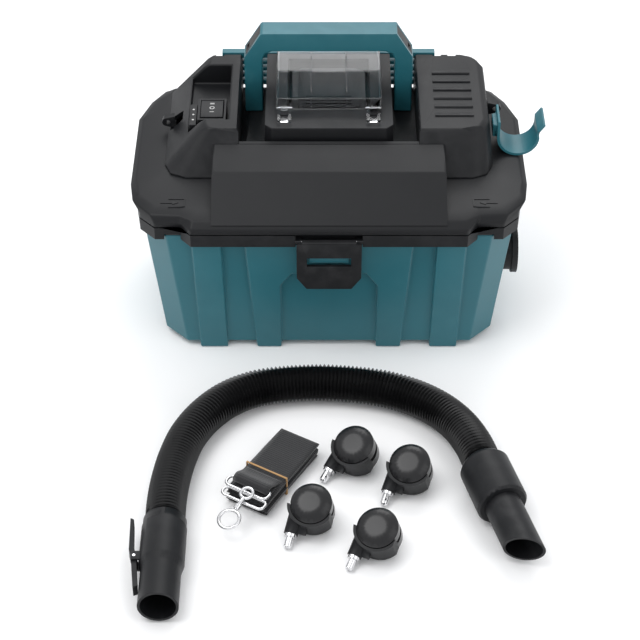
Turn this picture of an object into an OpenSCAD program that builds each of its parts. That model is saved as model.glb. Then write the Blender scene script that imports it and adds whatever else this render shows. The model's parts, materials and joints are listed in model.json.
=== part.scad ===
// Battery shop vacuum: tapered tank, lift-off power head, carrying handle, and its loose
// accessories laid out on the floor in front: hose, shoulder strap and four stem casters.
// Millimetres, +Z up, +Y to the back, origin at the centre of the tank's base on the floor.

/* [Overall] */
// Width of the power head at its shoulder
head_w = 410; // [340:5:500]
// Depth of the power head at its rim, front to back
head_d = 248; // [225:4:300]
// Height of the tank's rim above the floor
tank_h = 150; // [140:5:190]
// Height of the pods' tops above the tank's rim
pod_rise = 74; // [72:1:90]

/* [Tank] */
// Wall of the tank
tank_wall = 2.6; // [2:0.2:4]
// How much narrower the tank is at its base than at its rim, each side
tank_draft_x = 16; // [8:1:24]
// How much shallower the tank is at its base than at its rim, each face
tank_draft_y = 4; // [2:1:10]
// Height of the feet below the tank's floor
foot_h = 6; // [4:1:10]
// Corner cut of the tank
tank_cut = 24; // [12:2:34]
// How far the pilasters stand proud of the wall at the floor
pilaster_proud = 3; // [2:0.5:6]
// Radius of a caster socket
socket_r = 4.1; // [3.1:0.1:6.1]
// Depth of a caster socket
socket_depth = 20; // [14:1:26]

/* [Inlet] */
// Radius of the inlet's bore, which takes the hose cuff
inlet_r = 19.4; // [15:0.1:26]
// Wall of the inlet spigot
inlet_wall = 3.4; // [2:0.2:6]
// Height of the inlet's axis
inlet_z = 80; // [70:1:100]
// Place of the inlet's axis along Y
inlet_y = -40; // [-60:1:40]
// Length of the inlet spigot
inlet_len = 44; // [30:1:60]

/* [Head shell] */
// Wall of the head's mouldings
shell = 3; // [2:0.2:4]
// Height of the rim band's lower half
band_h = 14; // [12:1:20]
// Half gap left between mouldings that seat on each other
seat_gap = 0.2; // [0.1:0.05:0.4]
// Width of the battery box
box_w = 136; // [126:2:150]
// Width of the channel that takes a handle leg
channel_w = 25; // [22:1:30]

/* [Handle] */
// Height of the grip's top above the pods
grip_rise = 55; // [48:1:70]
// Thickness of the grip
grip_h = 22; // [16:1:26]
// Depth of the handle front to back
grip_d = 26; // [20:1:34]
// Width of a handle leg
leg_w = 19; // [14:1:21]

/* [Battery] */
// Width of the battery pack
pack_w = 78; // [60:1:84]
// Length of the battery pack
pack_l = 84; // [70:1:86]
// Height of the battery pack
pack_h = 50; // [35:1:54]
// Width of the clear battery cover
cover_w = 110; // [96:1:118]
// Height of the clear battery cover
cover_h = 14; // [8:1:16]

/* [Latches] */
// Width of a tank latch
latch_w = 66; // [50:2:80]
// Height of a tank latch
latch_h = 58; // [50:1:64]
// Thickness of a tank latch
latch_t = 4.5; // [3:0.5:6]
// Radius of a latch pin
latch_pin_r = 1.5; // [1.2:0.1:2]

/* [Motor and filter] */
// Radius of the motor can
motor_r = 33; // [26:1:36]
// Radius of the motor shaft
shaft_r = 3; // [2.5:0.1:4]
// Radius of the fan housing
fan_r = 56; // [48:1:60]
// Radius of the filter cage
cage_r = 42; // [34:1:44]
// Radial clearance of a running fit
run_gap = 0.05; // [0.02:0.01:0.09]

/* [Hose] */
// Outer radius of the hose
hose_r = 19.3; // [14:0.1:24]
// Outer radius of the cuff that plugs into the inlet
cuff_r = 19; // [14:0.1:24]
// Outer radius of the cuff's collar
collar_r = 21.5; // [18:0.1:26]
// Outer radius of the nozzle tube
nozzle_r = 18; // [12:0.1:20]
// Length of the nozzle tube outside its cuff
nozzle_len = 68; // [50:1:100]

/* [Strap] */
// Width of the webbing
web_w = 44; // [30:1:50]
// Length of the folded bundle
bundle_l = 106; // [80:1:140]
// Height of the folded bundle
bundle_h = 20; // [14:1:30]

/* [Casters] */
// Radius of a caster's wheel
wheel_r = 20; // [16:0.5:25]
// Overall width of a caster across its two wheels
caster_w = 38; // [30:1:46]
// Radius of a caster's stem
stem_r = 4; // [3:0.1:6]
// Distance of the stem's axis in front of the wheels' axis
caster_trail = 14; // [10:1:18]

/* [Hidden] */
$fn = 48;
teal = [0.16, 0.42, 0.47];
black = [0.13, 0.13, 0.14];
clear_plastic = [0.8, 0.83, 0.85, 0.35];
steel = [0.75, 0.75, 0.76];
rubber = [0.08, 0.08, 0.08];
copper = [0.7, 0.45, 0.25];
fabric = [0.06, 0.06, 0.06];
green = [0.1, 0.35, 0.2];
tan = [0.62, 0.42, 0.25];

// Heights, from the floor up
band_z = tank_h - 4;
cover_z = band_z + band_h + 2 * seat_gap;
plate_z = tank_h + 2.4;
plate_t = 3;
shoulder_z = band_z + 27.5;
tray_z = shoulder_z + 8.5;
deck_z = tank_h + pod_rise;
grip_z = deck_z + grip_rise;

// Half sizes in plan
head_x = head_w / 2;
head_y = head_d / 2;
rim_x = head_x - 15;
rim_y = head_y - 14;
base_x = rim_x - tank_draft_x;
base_y = rim_y - tank_draft_y;
pod_in = box_w / 2 + channel_w;
pod_out = head_x - 40;
pod_foot = head_x - 35;
pod_back = head_y - 7;
pod_front = 36 - head_y + 60;
box_x = box_w / 2;
box_front = -head_y + 98;
fold_y = -head_y + 49;

// A closed solid through a stack of outlines that have the same number of points
module loft(levels) {
    n = len(levels[0][1]);
    m = len(levels);
    points = [for (level = levels) for (p = level[1]) [p[0], p[1], level[0]]];
    sides = [
        for (j = [0:m - 2]) for (i = [0:n - 1])
            let (a = j * n + i, b = j * n + (i + 1) % n)
            for (face = [[a, a + n, b + n], [a, b + n, b]]) face
    ];
    polyhedron(
        points = points,
        faces = concat(
            [[for (i = [0:n - 1]) i]],
            sides,
            [[for (i = [n - 1:-1:0]) (m - 1) * n + i]]
        )
    );
}

// The right half of an outline, front to back, joined to its mirror image
function whole(right) = concat(right, [for (i = [len(right) - 1:-1:0]) [-right[i][0], right[i][1]]]);
// An outline drawn in towards its middle by t on both axes
function shrink(points, t) = [for (p = points) [p[0] - sign(p[0]) * t, p[1] - sign(p[1]) * t]];
// A box with cut corners
function cut_box(x, y, cut) = whole([[x - cut, -y], [x, cut - y], [x, y - cut], [x - cut, y]]);

// A box between two corners
module block(low, high) {
    translate(low) cube(high - low);
}

// A bar with rounded corners, standing along +Z
module rounded_bar(x, y, z, r) {
    linear_extrude(z) hull() for (sx = [-1, 1], sy = [-1, 1])
        translate([sx * (x / 2 - r), sy * (y / 2 - r)]) circle(r = r, $fn = 24);
}

module mirror_copy(axis) {
    children();
    mirror(axis) children();
}

// ---------------------------------------------------------------- tank

function tank_outline(x, y) = cut_box(x, y, tank_cut);
pilaster_tilt = atan((head_y - 7 - base_y - pilaster_proud) / tank_h);

// A raised rib of the tank's face, from the floor to under the head's rim
module pilaster(bottom, top, y) {
    translate([0, -y, 0]) rotate([pilaster_tilt, 0, 0]) rotate([90, 0, 0])
        translate([0, 0, -14]) linear_extrude(14)
            polygon([[bottom[0], 0], [bottom[1], 0], [top[1], band_z - 2], [top[0], band_z - 2]]);
}

// The centre of the face: raised only above the arched recess
module arch_brow(y) {
    brow = band_z - 62;
    translate([0, -y, 0]) rotate([pilaster_tilt, 0, 0]) rotate([90, 0, 0])
        translate([0, 0, -14]) linear_extrude(14)
            polygon([
                [-52, brow], [-38, brow + 20], [38, brow + 20], [52, brow],
                [52, band_z - 2], [-52, band_z - 2]
            ]);
}

module face_relief() {
    y = base_y + pilaster_proud;
    mirror_copy([1, 0, 0]) {
        pilaster([50, 76], [50, 86], y);
        pilaster([base_x - 67, base_x - 38], [base_x - 64, base_x - 34], y);
    }
    arch_brow(y);
}

module side_relief() {
    side_tilt = atan(tank_draft_x / tank_h);
    for (y0 = [-62, 22]) translate([base_x + 2.5, 0, 0]) rotate([0, side_tilt, 0])
        rotate([90, 0, 90]) translate([0, 0, -12]) linear_extrude(12)
            polygon([[y0 + 2, 0], [y0 + 38, 0], [y0 + 40, band_z - 2], [y0, band_z - 2]]);
}

socket_x = base_x - 34;
socket_y = base_y - 29;
catch_z = band_z - 20;
latch_y = head_y + 6;

// The nose that a latch closes over
module catch_nose() {
    block([-21, -latch_y + latch_t + 0.3, catch_z], [21, -rim_y + 2, catch_z + 9]);
}

module tank() color(teal) {
    difference() {
        union() {
            loft([[foot_h, tank_outline(base_x, base_y)], [tank_h, tank_outline(rim_x, rim_y)]]);
            mirror_copy([0, 1, 0]) {
                face_relief();
                catch_nose();
            }
            mirror_copy([1, 0, 0]) side_relief();
            translate([base_x - 4, inlet_y, inlet_z]) rotate([0, 90, 0])
                cylinder(r = inlet_r + inlet_wall + 4, h = 14);
            for (x = [-socket_x, socket_x], y = [-socket_y, socket_y])
                translate([x, y, 0]) cylinder(r = socket_r + 5, h = foot_h + 1);
            cylinder(r = 16, h = foot_h + 1);
        }
        difference() {
            loft([
                [foot_h + tank_wall, tank_outline(base_x - tank_wall, base_y - tank_wall)],
                [tank_h + 1, tank_outline(rim_x - tank_wall, rim_y - tank_wall)]
            ]);
            for (x = [-socket_x, socket_x], y = [-socket_y, socket_y])
                translate([x, y, 0]) cylinder(r = socket_r + 5, h = socket_depth + 4);
        }
        for (x = [-socket_x, socket_x], y = [-socket_y, socket_y])
            translate([x, y, -1]) cylinder(r = socket_r, h = socket_depth + 1);
        translate([base_x - 40, inlet_y, inlet_z]) rotate([0, 90, 0])
            cylinder(r = inlet_r + inlet_wall + 0.1, h = 80);
    }
}

inlet_x = rim_x - 34;

module inlet_port() color(black) {
    translate([inlet_x, inlet_y, inlet_z]) rotate([0, 90, 0]) difference() {
        union() {
            cylinder(r = inlet_r + inlet_wall, h = inlet_len);
            translate([0, 0, inlet_len - 6]) cylinder(r = inlet_r + inlet_wall + 3, h = 6);
        }
        translate([0, 0, -1]) cylinder(r = inlet_r, h = inlet_len + 2);
    }
}

module inlet_seal() color(rubber) {
    translate([inlet_x - 3.2, inlet_y, inlet_z]) rotate([0, 90, 0]) difference() {
        cylinder(r = inlet_r + inlet_wall, h = 3);
        translate([0, 0, -1]) cylinder(r = inlet_r - 1, h = 5);
    }
}

// ---------------------------------------------------------------- head

// Outlines of the head, right half, front to back. The front centre steps forward.
function rim_outline() = whole([
    [head_x - 65, -head_y], [head_x - 54, 13 - head_y], [head_x - 28, 13 - head_y],
    [head_x - 12, 30 - head_y], [head_x - 6, 67 - head_y],
    [head_x - 6, head_y - 64], [head_x - 15, head_y - 28], [head_x - 29, head_y - 10],
    [head_x - 54, head_y - 10], [head_x - 65, head_y]
]);
function shoulder_outline() = whole([
    [head_x - 67, 7 - head_y], [head_x - 52, 16 - head_y], [head_x - 24, 18 - head_y],
    [head_x - 4, 42 - head_y], [head_x, 70 - head_y],
    [head_x, head_y - 60], [head_x - 12, head_y - 26], [head_x - 26, head_y - 4],
    [head_x - 52, head_y - 4], [head_x - 65, head_y - 2]
]);
function brow_outline() = whole([
    [head_x - 72, 20 - head_y], [head_x - 54, 28 - head_y], [head_x - 30, 28 - head_y],
    [head_x - 11, 48 - head_y], [head_x - 6, 74 - head_y],
    [head_x - 6, head_y - 62], [head_x - 18, head_y - 30], [head_x - 31, head_y - 8],
    [head_x - 54, head_y - 8], [head_x - 70, head_y - 6]
]);
function mouth_outline() = whole([
    [head_x - 90, 66 - head_y], [head_x - 66, 66 - head_y], [head_x - 52, 70 - head_y],
    [head_x - 36, 82 - head_y], [head_x - 33, 94 - head_y],
    [head_x - 33, head_y - 40], [head_x - 33, head_y - 20], [head_x - 38, head_y - 8],
    [head_x - 54, head_y - 6], [head_x - 80, head_y - 6]
]);

module head_gasket() color(rubber) {
    translate([0, 0, tank_h + seat_gap]) linear_extrude(1.8) difference() {
        polygon(tank_outline(rim_x - 0.4, rim_y - 0.4));
        polygon(tank_outline(rim_x - tank_wall + 0.2, rim_y - tank_wall + 0.2));
    }
}

motor_y = -head_y + 91;

// Screws that hold the base to the cover, near the corners
screw_places = [
    for (sx = [-1, 1], sy = [-1, 1]) [sx * (rim_x - 14), sy * (rim_y - 30)]
];

module head_base() color(black) {
    difference() {
        union() {
            difference() {
                translate([0, 0, band_z]) linear_extrude(band_h) polygon(rim_outline());
                translate([0, 0, band_z - 1]) linear_extrude(plate_z - band_z + 1)
                    polygon(tank_outline(rim_x + 1.2, rim_y + 1.2));
                translate([0, 0, plate_z + plate_t]) linear_extrude(band_h)
                    polygon(shrink(rim_outline(), shell));
                mirror_copy([0, 1, 0]) block(
                    [-latch_w / 2 - 1, -head_y - 1, band_z - 1],
                    [latch_w / 2 + 1, 5 - head_y + 3, band_z + band_h + 1]
                );
            }
            translate([0, 0, tank_h - 8]) linear_extrude(plate_z - tank_h + 9) difference() {
                polygon(tank_outline(rim_x - tank_wall - 1.5, rim_y - tank_wall - 1.5));
                polygon(tank_outline(rim_x - tank_wall - 3.9, rim_y - tank_wall - 3.9));
            }
            mirror_copy([0, 1, 0]) mirror_copy([1, 0, 0]) latch_ear();
        }
        translate([0, motor_y, plate_z - 1]) cylinder(r = motor_r + 1, h = plate_t + 2);
        for (p = screw_places) translate([p[0], p[1], plate_z - 1]) cylinder(r = 1.7, h = plate_t + 2);
        mirror_copy([0, 1, 0]) latch_pin(latch_pin_r);
    }
}

hinge_z = band_z + band_h - 8;
barrel_r = 2.2;
hinge_y = -head_y + 1;

module latch_ear() {
    translate([latch_w / 2 - 5, hinge_y, hinge_z]) rotate([0, 90, 0]) cylinder(r = barrel_r, h = 6.5);
    block(
        [latch_w / 2 - 5, hinge_y, hinge_z - barrel_r],
        [latch_w / 2 + 1.5, 9 - head_y, hinge_z + barrel_r]
    );
}

module latch_pin(r) {
    translate([-latch_w / 2 - 1, hinge_y, hinge_z]) rotate([0, 90, 0]) cylinder(r = r, h = latch_w + 2);
}

module latch_pins() color(steel) {
    mirror_copy([0, 1, 0]) latch_pin(latch_pin_r);
}

// A bail latch: barrel on the pin, plate hanging in front of the tank's nose
module latch() {
    plate_y = -latch_y;
    top_z = hinge_z + barrel_r;
    low_z = top_z - latch_h;
    difference() {
        union() {
            translate([-latch_w / 2 + 5.4, hinge_y, hinge_z]) rotate([0, 90, 0])
                cylinder(r = barrel_r, h = latch_w - 10.8);
            block(
                [-latch_w / 2 + 5.4, plate_y, hinge_z - barrel_r],
                [latch_w / 2 - 5.4, hinge_y, hinge_z + barrel_r - 0.6]
            );
            translate([0, plate_y + latch_t, 0]) rotate([90, 0, 0]) linear_extrude(latch_t) polygon([
                [-latch_w / 2, top_z - 1], [-latch_w / 2, low_z + 14], [-latch_w / 2 + 10, low_z],
                [latch_w / 2 - 10, low_z], [latch_w / 2, low_z + 14], [latch_w / 2, top_z - 1]
            ]);
        }
        latch_pin(latch_pin_r + run_gap);
        block([-22.5, plate_y - 1, catch_z - 1], [22.5, plate_y + latch_t + 1, catch_z + 10]);
    }
}

module front_latch() color(black) latch();
module rear_latch() color(black) mirror([0, 1, 0]) latch();

module head_cover() color(black) {
    difference() {
        loft([
            [cover_z, rim_outline()],
            [shoulder_z - 6.5, rim_outline()],
            [shoulder_z, shoulder_outline()],
            [shoulder_z + 4, brow_outline()],
            [shoulder_z + 7.5, mouth_outline()]
        ]);
        loft([
            [cover_z - 1, shrink(rim_outline(), shell)],
            [shoulder_z - 7.5, shrink(rim_outline(), shell)],
            [shoulder_z - 1, shrink(shoulder_outline(), shell)],
            [shoulder_z + 1.5, shrink(brow_outline(), shell)],
            [shoulder_z + 4.5, shrink(mouth_outline(), shell)],
            [shoulder_z + 9, shrink(mouth_outline(), shell)]
        ]);
        translate([0, motor_y, shoulder_z]) cylinder(r = motor_r + 1.5, h = 20);
    }
    for (p = screw_places) translate([p[0], p[1], plate_z + plate_t + seat_gap])
        difference() {
            cylinder(r = 4, h = tray_z - 4.6 - plate_z - plate_t);
            translate([0, 0, -1]) cylinder(r = 1.3, h = 13);
        }
}

module housing_screws() color(steel) {
    for (p = screw_places) translate([p[0], p[1], plate_z - 2.2]) {
        cylinder(r = 3, h = 2);
        cylinder(r = 1.25, h = 14);
    }
}

// ---------------------------------------------------------------- pods

// Where the shoulder strap's eyes stand on the pods' outer walls
eye_y = pod_back - 84;
right_eye_z = deck_z - 18;
left_eye_z = tray_z + 7;

// Pod outlines on the right side. The left pod's outer face leans over much further.
function pod_base(out, grow = 0) = [
    [pod_in - grow, pod_front - 26 - grow], [out - 22, pod_front - 26 - grow],
    [out - 7 + grow, pod_front - 19], [out + grow, pod_front - 2],
    [out + grow, pod_back - 14], [out - 6 + grow, pod_back - 3],
    [out - 16, pod_back + grow], [pod_in - grow, pod_back + grow]
];
function pod_top(out, cut, grow = 0) = [
    [pod_in - grow, pod_front - grow], [out - cut, pod_front - grow],
    [out - cut * 0.3 + grow, pod_front + cut * 0.3], [out + grow, pod_front + cut],
    [out + grow, pod_back - cut], [out - cut * 0.3 + grow, pod_back - cut * 0.3],
    [out - cut, pod_back + grow], [pod_in - grow, pod_back + grow]
];

module pod(foot, out, cut, t) {
    low = t == 0 ? tray_z - 0.6 : tray_z - 8;
    loft([
        [low, pod_base(foot, -t)],
        [tray_z + 1 - t, pod_base(foot, -t)],
        [deck_z - 4 - t, pod_top(out + 1, cut, -t)],
        [deck_z - t, pod_top(out - 3, cut, -t - 2)]
    ]);
}

module right_pod(t = 0) {
    pod(pod_foot, pod_out, 20, t);
}

module left_pod(t = 0) {
    mirror([1, 0, 0]) pod(pod_foot, pod_out - 32, 12, t);
}

recess_in = -pod_in - 11;
recess_out = -pod_out + 19;
recess_front = pod_front + 20;
recess_back = pod_back - 22;
recess_z = deck_z - 24;

// The open pocket in the left pod that holds the switch
module switch_pocket(t) {
    block([recess_out - t, recess_front - t, recess_z - t], [recess_in + t, recess_back + t, deck_z + 5]);
}

module top_housing() color(black) {
    difference() {
        union() {
            difference() {
                translate([0, 0, tray_z - 3]) linear_extrude(3)
                    polygon(shrink(mouth_outline(), shell + 0.4));
                block([pod_in + shell, pod_front - 22, tray_z - 5], [pod_foot - 8, pod_back - 6, tray_z + 1]);
                block([8 - pod_foot, pod_front - 22, tray_z - 5], [-pod_in - shell, pod_back - 6, tray_z + 1]);
            }
            difference() {
                union() {
                    right_pod();
                    left_pod();
                }
                difference() {
                    union() {
                        right_pod(shell);
                        left_pod(shell);
                    }
                    switch_pocket(2.4);
                }
            }
        }
        switch_pocket(0);
        for (sx = [-1, 1]) translate([sx * (handle_x - leg_w / 2), handle_front + grip_d / 2, tray_z - 6])
            cylinder(r = 2.3, h = 8);
        // the battery box drops through the tray
        block([-box_x + 6, -fan_r, tray_z - 6], [box_x - 6, pod_back - 8, tray_z + 1]);
        // cooling slots in the pods' back edges
        for (sx = [-1, 1], i = [0, 1])
            translate([sx * (pod_in + 24 + 16 * i), pod_back, deck_z]) cube([9, 9.2, 4.4], center = true);
        for (i = [0:4]) block(
            [pod_in + 15, pod_back - 4.5, tray_z + 8 + 6 * i],
            [pod_out - 15, pod_back + 6, tray_z + 11 + 6 * i]
        );
        // pockets behind the strap eyes
        translate([pod_out + 3, eye_y + 2, right_eye_z + 4]) cube([9, 17, 13], center = true);
        translate([-pod_out + 4, eye_y + 2, left_eye_z + 4]) cube([15, 17, 13], center = true);
    }
    // cooling ribs on the right pod
    for (i = [0:5]) block(
        [pod_in + 17, pod_front + 24 + 16 * i, deck_z - 0.5],
        [pod_in + 57, pod_front + 28 + 16 * i, deck_z + 1.6]
    );
}

// ---------------------------------------------------------------- battery box, cover and pack

bay_x = pack_w / 2 + 4;
bay_front = pod_back - 106;
bay_back = pod_back - 12;
bay_z = deck_z - pack_h - 3;

module battery_box() color(black) {
    difference() {
        union() {
            loft([
                [tray_z + seat_gap, whole([[box_x - 7, box_front - 3], [box_x - 0.5, box_front + 3],
                    [box_x - 0.5, pod_back - 2], [box_x - 2, pod_back]])],
                [deck_z, whole([[box_x - 9, box_front], [box_x - 2, box_front + 6],
                    [box_x - 2, pod_back - 2], [box_x - 3, pod_back]])]
            ]);
            block([-bay_x - 3, bay_front - 3, bay_z - 3], [bay_x + 3, bay_back + 3, tray_z + 2]);
        }
        block([-bay_x, bay_front, bay_z], [bay_x, bay_back, deck_z + 1]);
        block([-box_x + 6, box_front + 3, tray_z - 1], [box_x - 6, bay_front - 3, deck_z - 3]);
        for (sx = [-1, 1]) block(
            [sx > 0 ? bay_x + 3 : -box_x + 6, bay_front - 4, tray_z - 1],
            [sx > 0 ? box_x - 6 : -bay_x - 3, bay_back, deck_z - 3]
        );
        translate([0, motor_y, tray_z - 1]) cylinder(r = motor_r + 1.5, h = motor_top - tray_z + 3);
    }
    // low catches that the battery cover's clips sit over
    for (sx = [-1, 1]) block(
        [sx * clip_x - 3.5, clip_y - 9, deck_z - 0.5], [sx * clip_x + 3.5, clip_y - 5, deck_z + 1]
    );
}

lid_front = bay_front - 2.5;
lid_back = pod_back - 2;
lid_t = 2;
clip_x = cover_w / 2 - 9;
clip_y = lid_front - 2.2;
clip_z = deck_z + 3.4;

module battery_cover() color(clear_plastic) {
    z = deck_z + 0.3;
    difference() {
        union() {
            block([-cover_w / 2, lid_front, z], [cover_w / 2, lid_back, z + cover_h]);
            for (sx = [-1, 1]) block(
                [sx * clip_x - 3.4, clip_y - 2.2, clip_z - 1.8], [sx * clip_x + 3.4, lid_front + 1, clip_z + 2]
            );
        }
        block(
            [-cover_w / 2 + lid_t, lid_front + lid_t, z - 1],
            [cover_w / 2 - lid_t, lid_back - lid_t, z + cover_h - lid_t]
        );
        // the sunk middle panel
        block([-18, lid_front - 1, z + cover_h - 0.8], [18, lid_back + 1, z + cover_h + 1]);
        cover_pins(1);
    }
}

module cover_pins(r) {
    for (sx = [-1, 1]) translate([sx * clip_x - 8, clip_y, clip_z]) rotate([0, 90, 0])
        cylinder(r = r, h = 16);
}

module cover_clip_pins() color(steel) cover_pins(1);

// Two clear loops that swing up off their catches
module cover_clips() color(clear_plastic) {
    for (sx = [-1, 1]) difference() {
        union() {
            block([sx * clip_x - 7, clip_y - 24, deck_z + 1.4], [sx * clip_x + 7, clip_y + 1, deck_z + 4.4]);
            translate([sx * clip_x - 7, clip_y, clip_z]) rotate([0, 90, 0]) cylinder(r = 1.9, h = 14);
        }
        block([sx * clip_x - 3.8, clip_y - 20, deck_z], [sx * clip_x + 3.8, clip_y + 4, deck_z + 6]);
        cover_pins(1 + run_gap);
    }
}

pack_back = bay_back - 8;

module battery_pack() color(black) {
    difference() {
        union() {
            translate([0, pack_back - pack_l / 2, bay_z + 0.5]) rounded_bar(pack_w, pack_l, pack_h - 6, 6);
            translate([0, pack_back - pack_l / 2, bay_z + 0.5]) rounded_bar(pack_w - 14, pack_l - 12, pack_h, 5);
        }
        for (i = [0:2]) block(
            [-24, pack_back - pack_l + 10 + 6 * i, bay_z + pack_h - 0.7],
            [24, pack_back - pack_l + 12 + 6 * i, bay_z + pack_h + 2]
        );
        for (x = [-16, 0, 16]) block(
            [x - 2, pack_back - 12, bay_z - 1], [x + 2, pack_back + 1, bay_z + 28]
        );
    }
}

module battery_terminals() color(copper) {
    block([-24, bay_back - 5, bay_z + 10], [24, bay_back - 0.2, bay_z + 32]);
    for (x = [-16, 0, 16]) block([x - 0.7, bay_back - 16, bay_z + 17], [x + 0.7, bay_back - 4, bay_z + 25]);
}

// ---------------------------------------------------------------- front and rear covers

cover_half = head_x - 86;

// The cover's underside, which follows the shoulder from the rim up to the tray
function cover_under(back) = [
    [4.2 - head_y, shoulder_z - 1.5], [7.6 - head_y, shoulder_z + 0.5], [20 - head_y, shoulder_z + 4.6],
    [66 - head_y, tray_z - 0.4], [66 - head_y, tray_z + seat_gap], [back, tray_z + seat_gap]
];
// Its visible profile: a short top, a fold, and the long face down to the rim
function cover_skin(top, t) = [
    [top, deck_z - 12 - t], [fold_y + 0.3 * t, deck_z - 21 - t * 1.1],
    [2.6 - head_y + t, shoulder_z - 2.2 + 0.4 * t]
];

module cover_prism(x0, x1, profile) {
    translate([x0, 0, 0]) rotate([90, 0, 90]) linear_extrude(x1 - x0) polygon(profile);
}

cover_back = box_front - 6;
wing_top = pod_front - 7;
wing_foot = pod_front - 26.6;

module front_cover() color(black) {
    difference() {
        union() {
            cover_prism(-cover_half, cover_half, concat(cover_under(wing_foot), cover_skin(wing_top, 0)));
            cover_prism(0.5 - pod_in, pod_in - 0.5, concat(cover_under(cover_back), cover_skin(cover_back, 0)));
        }
        // one hollow under the middle, and one under each wing with a wall between
        cover_prism(shell - pod_in, pod_in - shell, concat(
            [[10 - head_y, band_z], [cover_back - shell, band_z]], cover_skin(cover_back - shell, shell)
        ));
        for (x = [shell - cover_half, pod_in + 1]) cover_prism(x, x + cover_half - pod_in - shell - 1, concat(
            [[10 - head_y, band_z], [wing_foot - shell, band_z]], cover_skin(wing_top - shell, shell)
        ));
        translate([0, motor_y, plate_z]) cylinder(r = motor_r + 1.5, h = motor_top - plate_z + 2);
        // long pressed groove above the rim
        translate([-104, 16 - head_y, shoulder_z + 9.5]) rotate([40, 0, 0]) cube([208, 3, 6]);
    }
}

module rear_cover() color(teal) {
    difference() {
        block([-head_x + 90, pod_back + 0.3, tray_z + 2], [head_x - 90, pod_back + 9, deck_z + 1]);
        for (i = [0:3]) block(
            [-head_x + 110, pod_back - 1, tray_z + 8 + 8 * i], [head_x - 110, pod_back + 12, tray_z + 12 + 8 * i]
        );
    }
}

// ---------------------------------------------------------------- handle

handle_front = pod_back - 50;
handle_x = pod_in - 4;
diag_drop = 29;
diag_run = 18;

// Handle seen from the front
module handle_outline() {
    difference() {
        polygon([
            [-handle_x, tray_z + 0.3], [-handle_x, grip_z - diag_drop], [diag_run - handle_x, grip_z],
            [handle_x - diag_run, grip_z], [handle_x, grip_z - diag_drop], [handle_x, tray_z + 0.3]
        ]);
        polygon([
            [leg_w - handle_x, tray_z], [leg_w - handle_x, grip_z - grip_h - 10],
            [leg_w - handle_x + 3, grip_z - grip_h - 3], [leg_w - handle_x + 10, grip_z - grip_h],
            [handle_x - leg_w - 10, grip_z - grip_h], [handle_x - leg_w - 3, grip_z - grip_h - 3],
            [handle_x - leg_w, grip_z - grip_h - 10], [handle_x - leg_w, tray_z]
        ]);
    }
}

// The slab let into the handle's sloping corner
module corner_cap(t) {
    translate([handle_x, handle_front + 4 - t, grip_z - diag_drop])
        rotate([0, -atan(diag_run / diag_drop), 0])
            block([-4 - t, 0, 2 - t], [0.01, grip_d - 8 + 2 * t, sqrt(pow(diag_drop, 2) + pow(diag_run, 2)) - 2 + t]);
}

module handle() color(teal) {
    difference() {
        translate([0, handle_front + grip_d, 0]) rotate([90, 0, 0]) linear_extrude(grip_d)
            handle_outline();
        mirror_copy([1, 0, 0]) corner_cap(0.15);
        for (sx = [-1, 1]) translate([sx * (handle_x - leg_w / 2), handle_front + grip_d / 2, tray_z - 1])
            cylinder(r = 2.05, h = 18);
    }
}

module handle_caps() color(black) {
    mirror_copy([1, 0, 0]) difference() {
        corner_cap(0);
        translate([handle_x - 2, handle_front + grip_d / 2, grip_z - diag_drop + 6])
            cube([16, 9, 4], center = true);
    }
}

module handle_screws() color(steel) {
    for (sx = [-1, 1]) translate([sx * (handle_x - leg_w / 2), handle_front + grip_d / 2, tray_z - 5.6]) {
        cylinder(r = 4, h = 2.4);
        cylinder(r = 2, h = 20);
    }
}

// ---------------------------------------------------------------- switch, lights, hook, eyes

rocker_x = (recess_in + recess_out) / 2 + 3;
rocker_y = recess_front + 28;
rocker_z = deck_z - 10;

module switch_bezel() color(black) {
    difference() {
        block([rocker_x - 15, rocker_y - 20, recess_z + 0.1], [rocker_x + 15, rocker_y + 20, rocker_z + 3]);
        block([rocker_x - 12, rocker_y - 17, recess_z + 3], [rocker_x + 12, rocker_y + 17, rocker_z + 4]);
    }
}

module power_rocker() color(black) {
    translate([rocker_x - 11.6, rocker_y, rocker_z]) rotate([90, 0, 90]) difference() {
        linear_extrude(23.2) polygon([
            [-15.5, 3.4], [-14.5, -2], [-5, -5], [5, -5], [14.5, -2], [15.5, 3.4], [9, 4.6], [-9, 4.6]
        ]);
        // bore of the pivot
        translate([0, 0, -1]) cylinder(r = 1.2, h = 26);
    }
}

module indicator_strip() color(black) {
    block([recess_out + 0.5, rocker_y - 22, recess_z + 0.1], [recess_out + 8, rocker_y + 16, recess_z + 12]);
}

hook_r = 22;
hook_t = 2.6;
hook_x = head_x - 8;
hook_z = shoulder_z + 5 + hook_r;
hook_front = pod_back - 126;
hook_d = 34;

module hose_hook() color(teal) {
    translate([hook_x, hook_front + hook_d, hook_z]) rotate([90, 0, 0]) {
        difference() {
            cylinder(r = hook_r, h = hook_d);
            translate([0, 0, -1]) cylinder(r = hook_r - hook_t, h = hook_d + 2);
            translate([-hook_r - 1, 0, -1]) cube([2 * hook_r + 2, hook_r + 2, hook_d + 2]);
        }
        translate([-hook_r, -0.5, 0]) cube([hook_t, 20, hook_d]);
        translate([hook_r - hook_t, -0.5, 0]) cube([hook_t, 8, hook_d]);
        translate([hook_r - hook_t, 7, 0]) rotate([0, 0, -35]) cube([hook_t, 11, hook_d]);
    }
    // the bracket on the pod's wall
    block(
        [pod_foot + 0.6, hook_front + 6, hook_z - 2],
        [hook_x - hook_r + 1, hook_front + hook_d - 6, hook_z + 12]
    );
}

// A small D-shaped lug for the strap's snap hook
module strap_eye() {
    rotate([90, 0, 0]) linear_extrude(7, center = true) difference() {
        hull() {
            translate([0, 5]) square([1, 14], center = true);
            translate([8, 5]) circle(r = 5, $fn = 32);
        }
        translate([7, 5]) circle(r = 2.6);
    }
}

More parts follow.
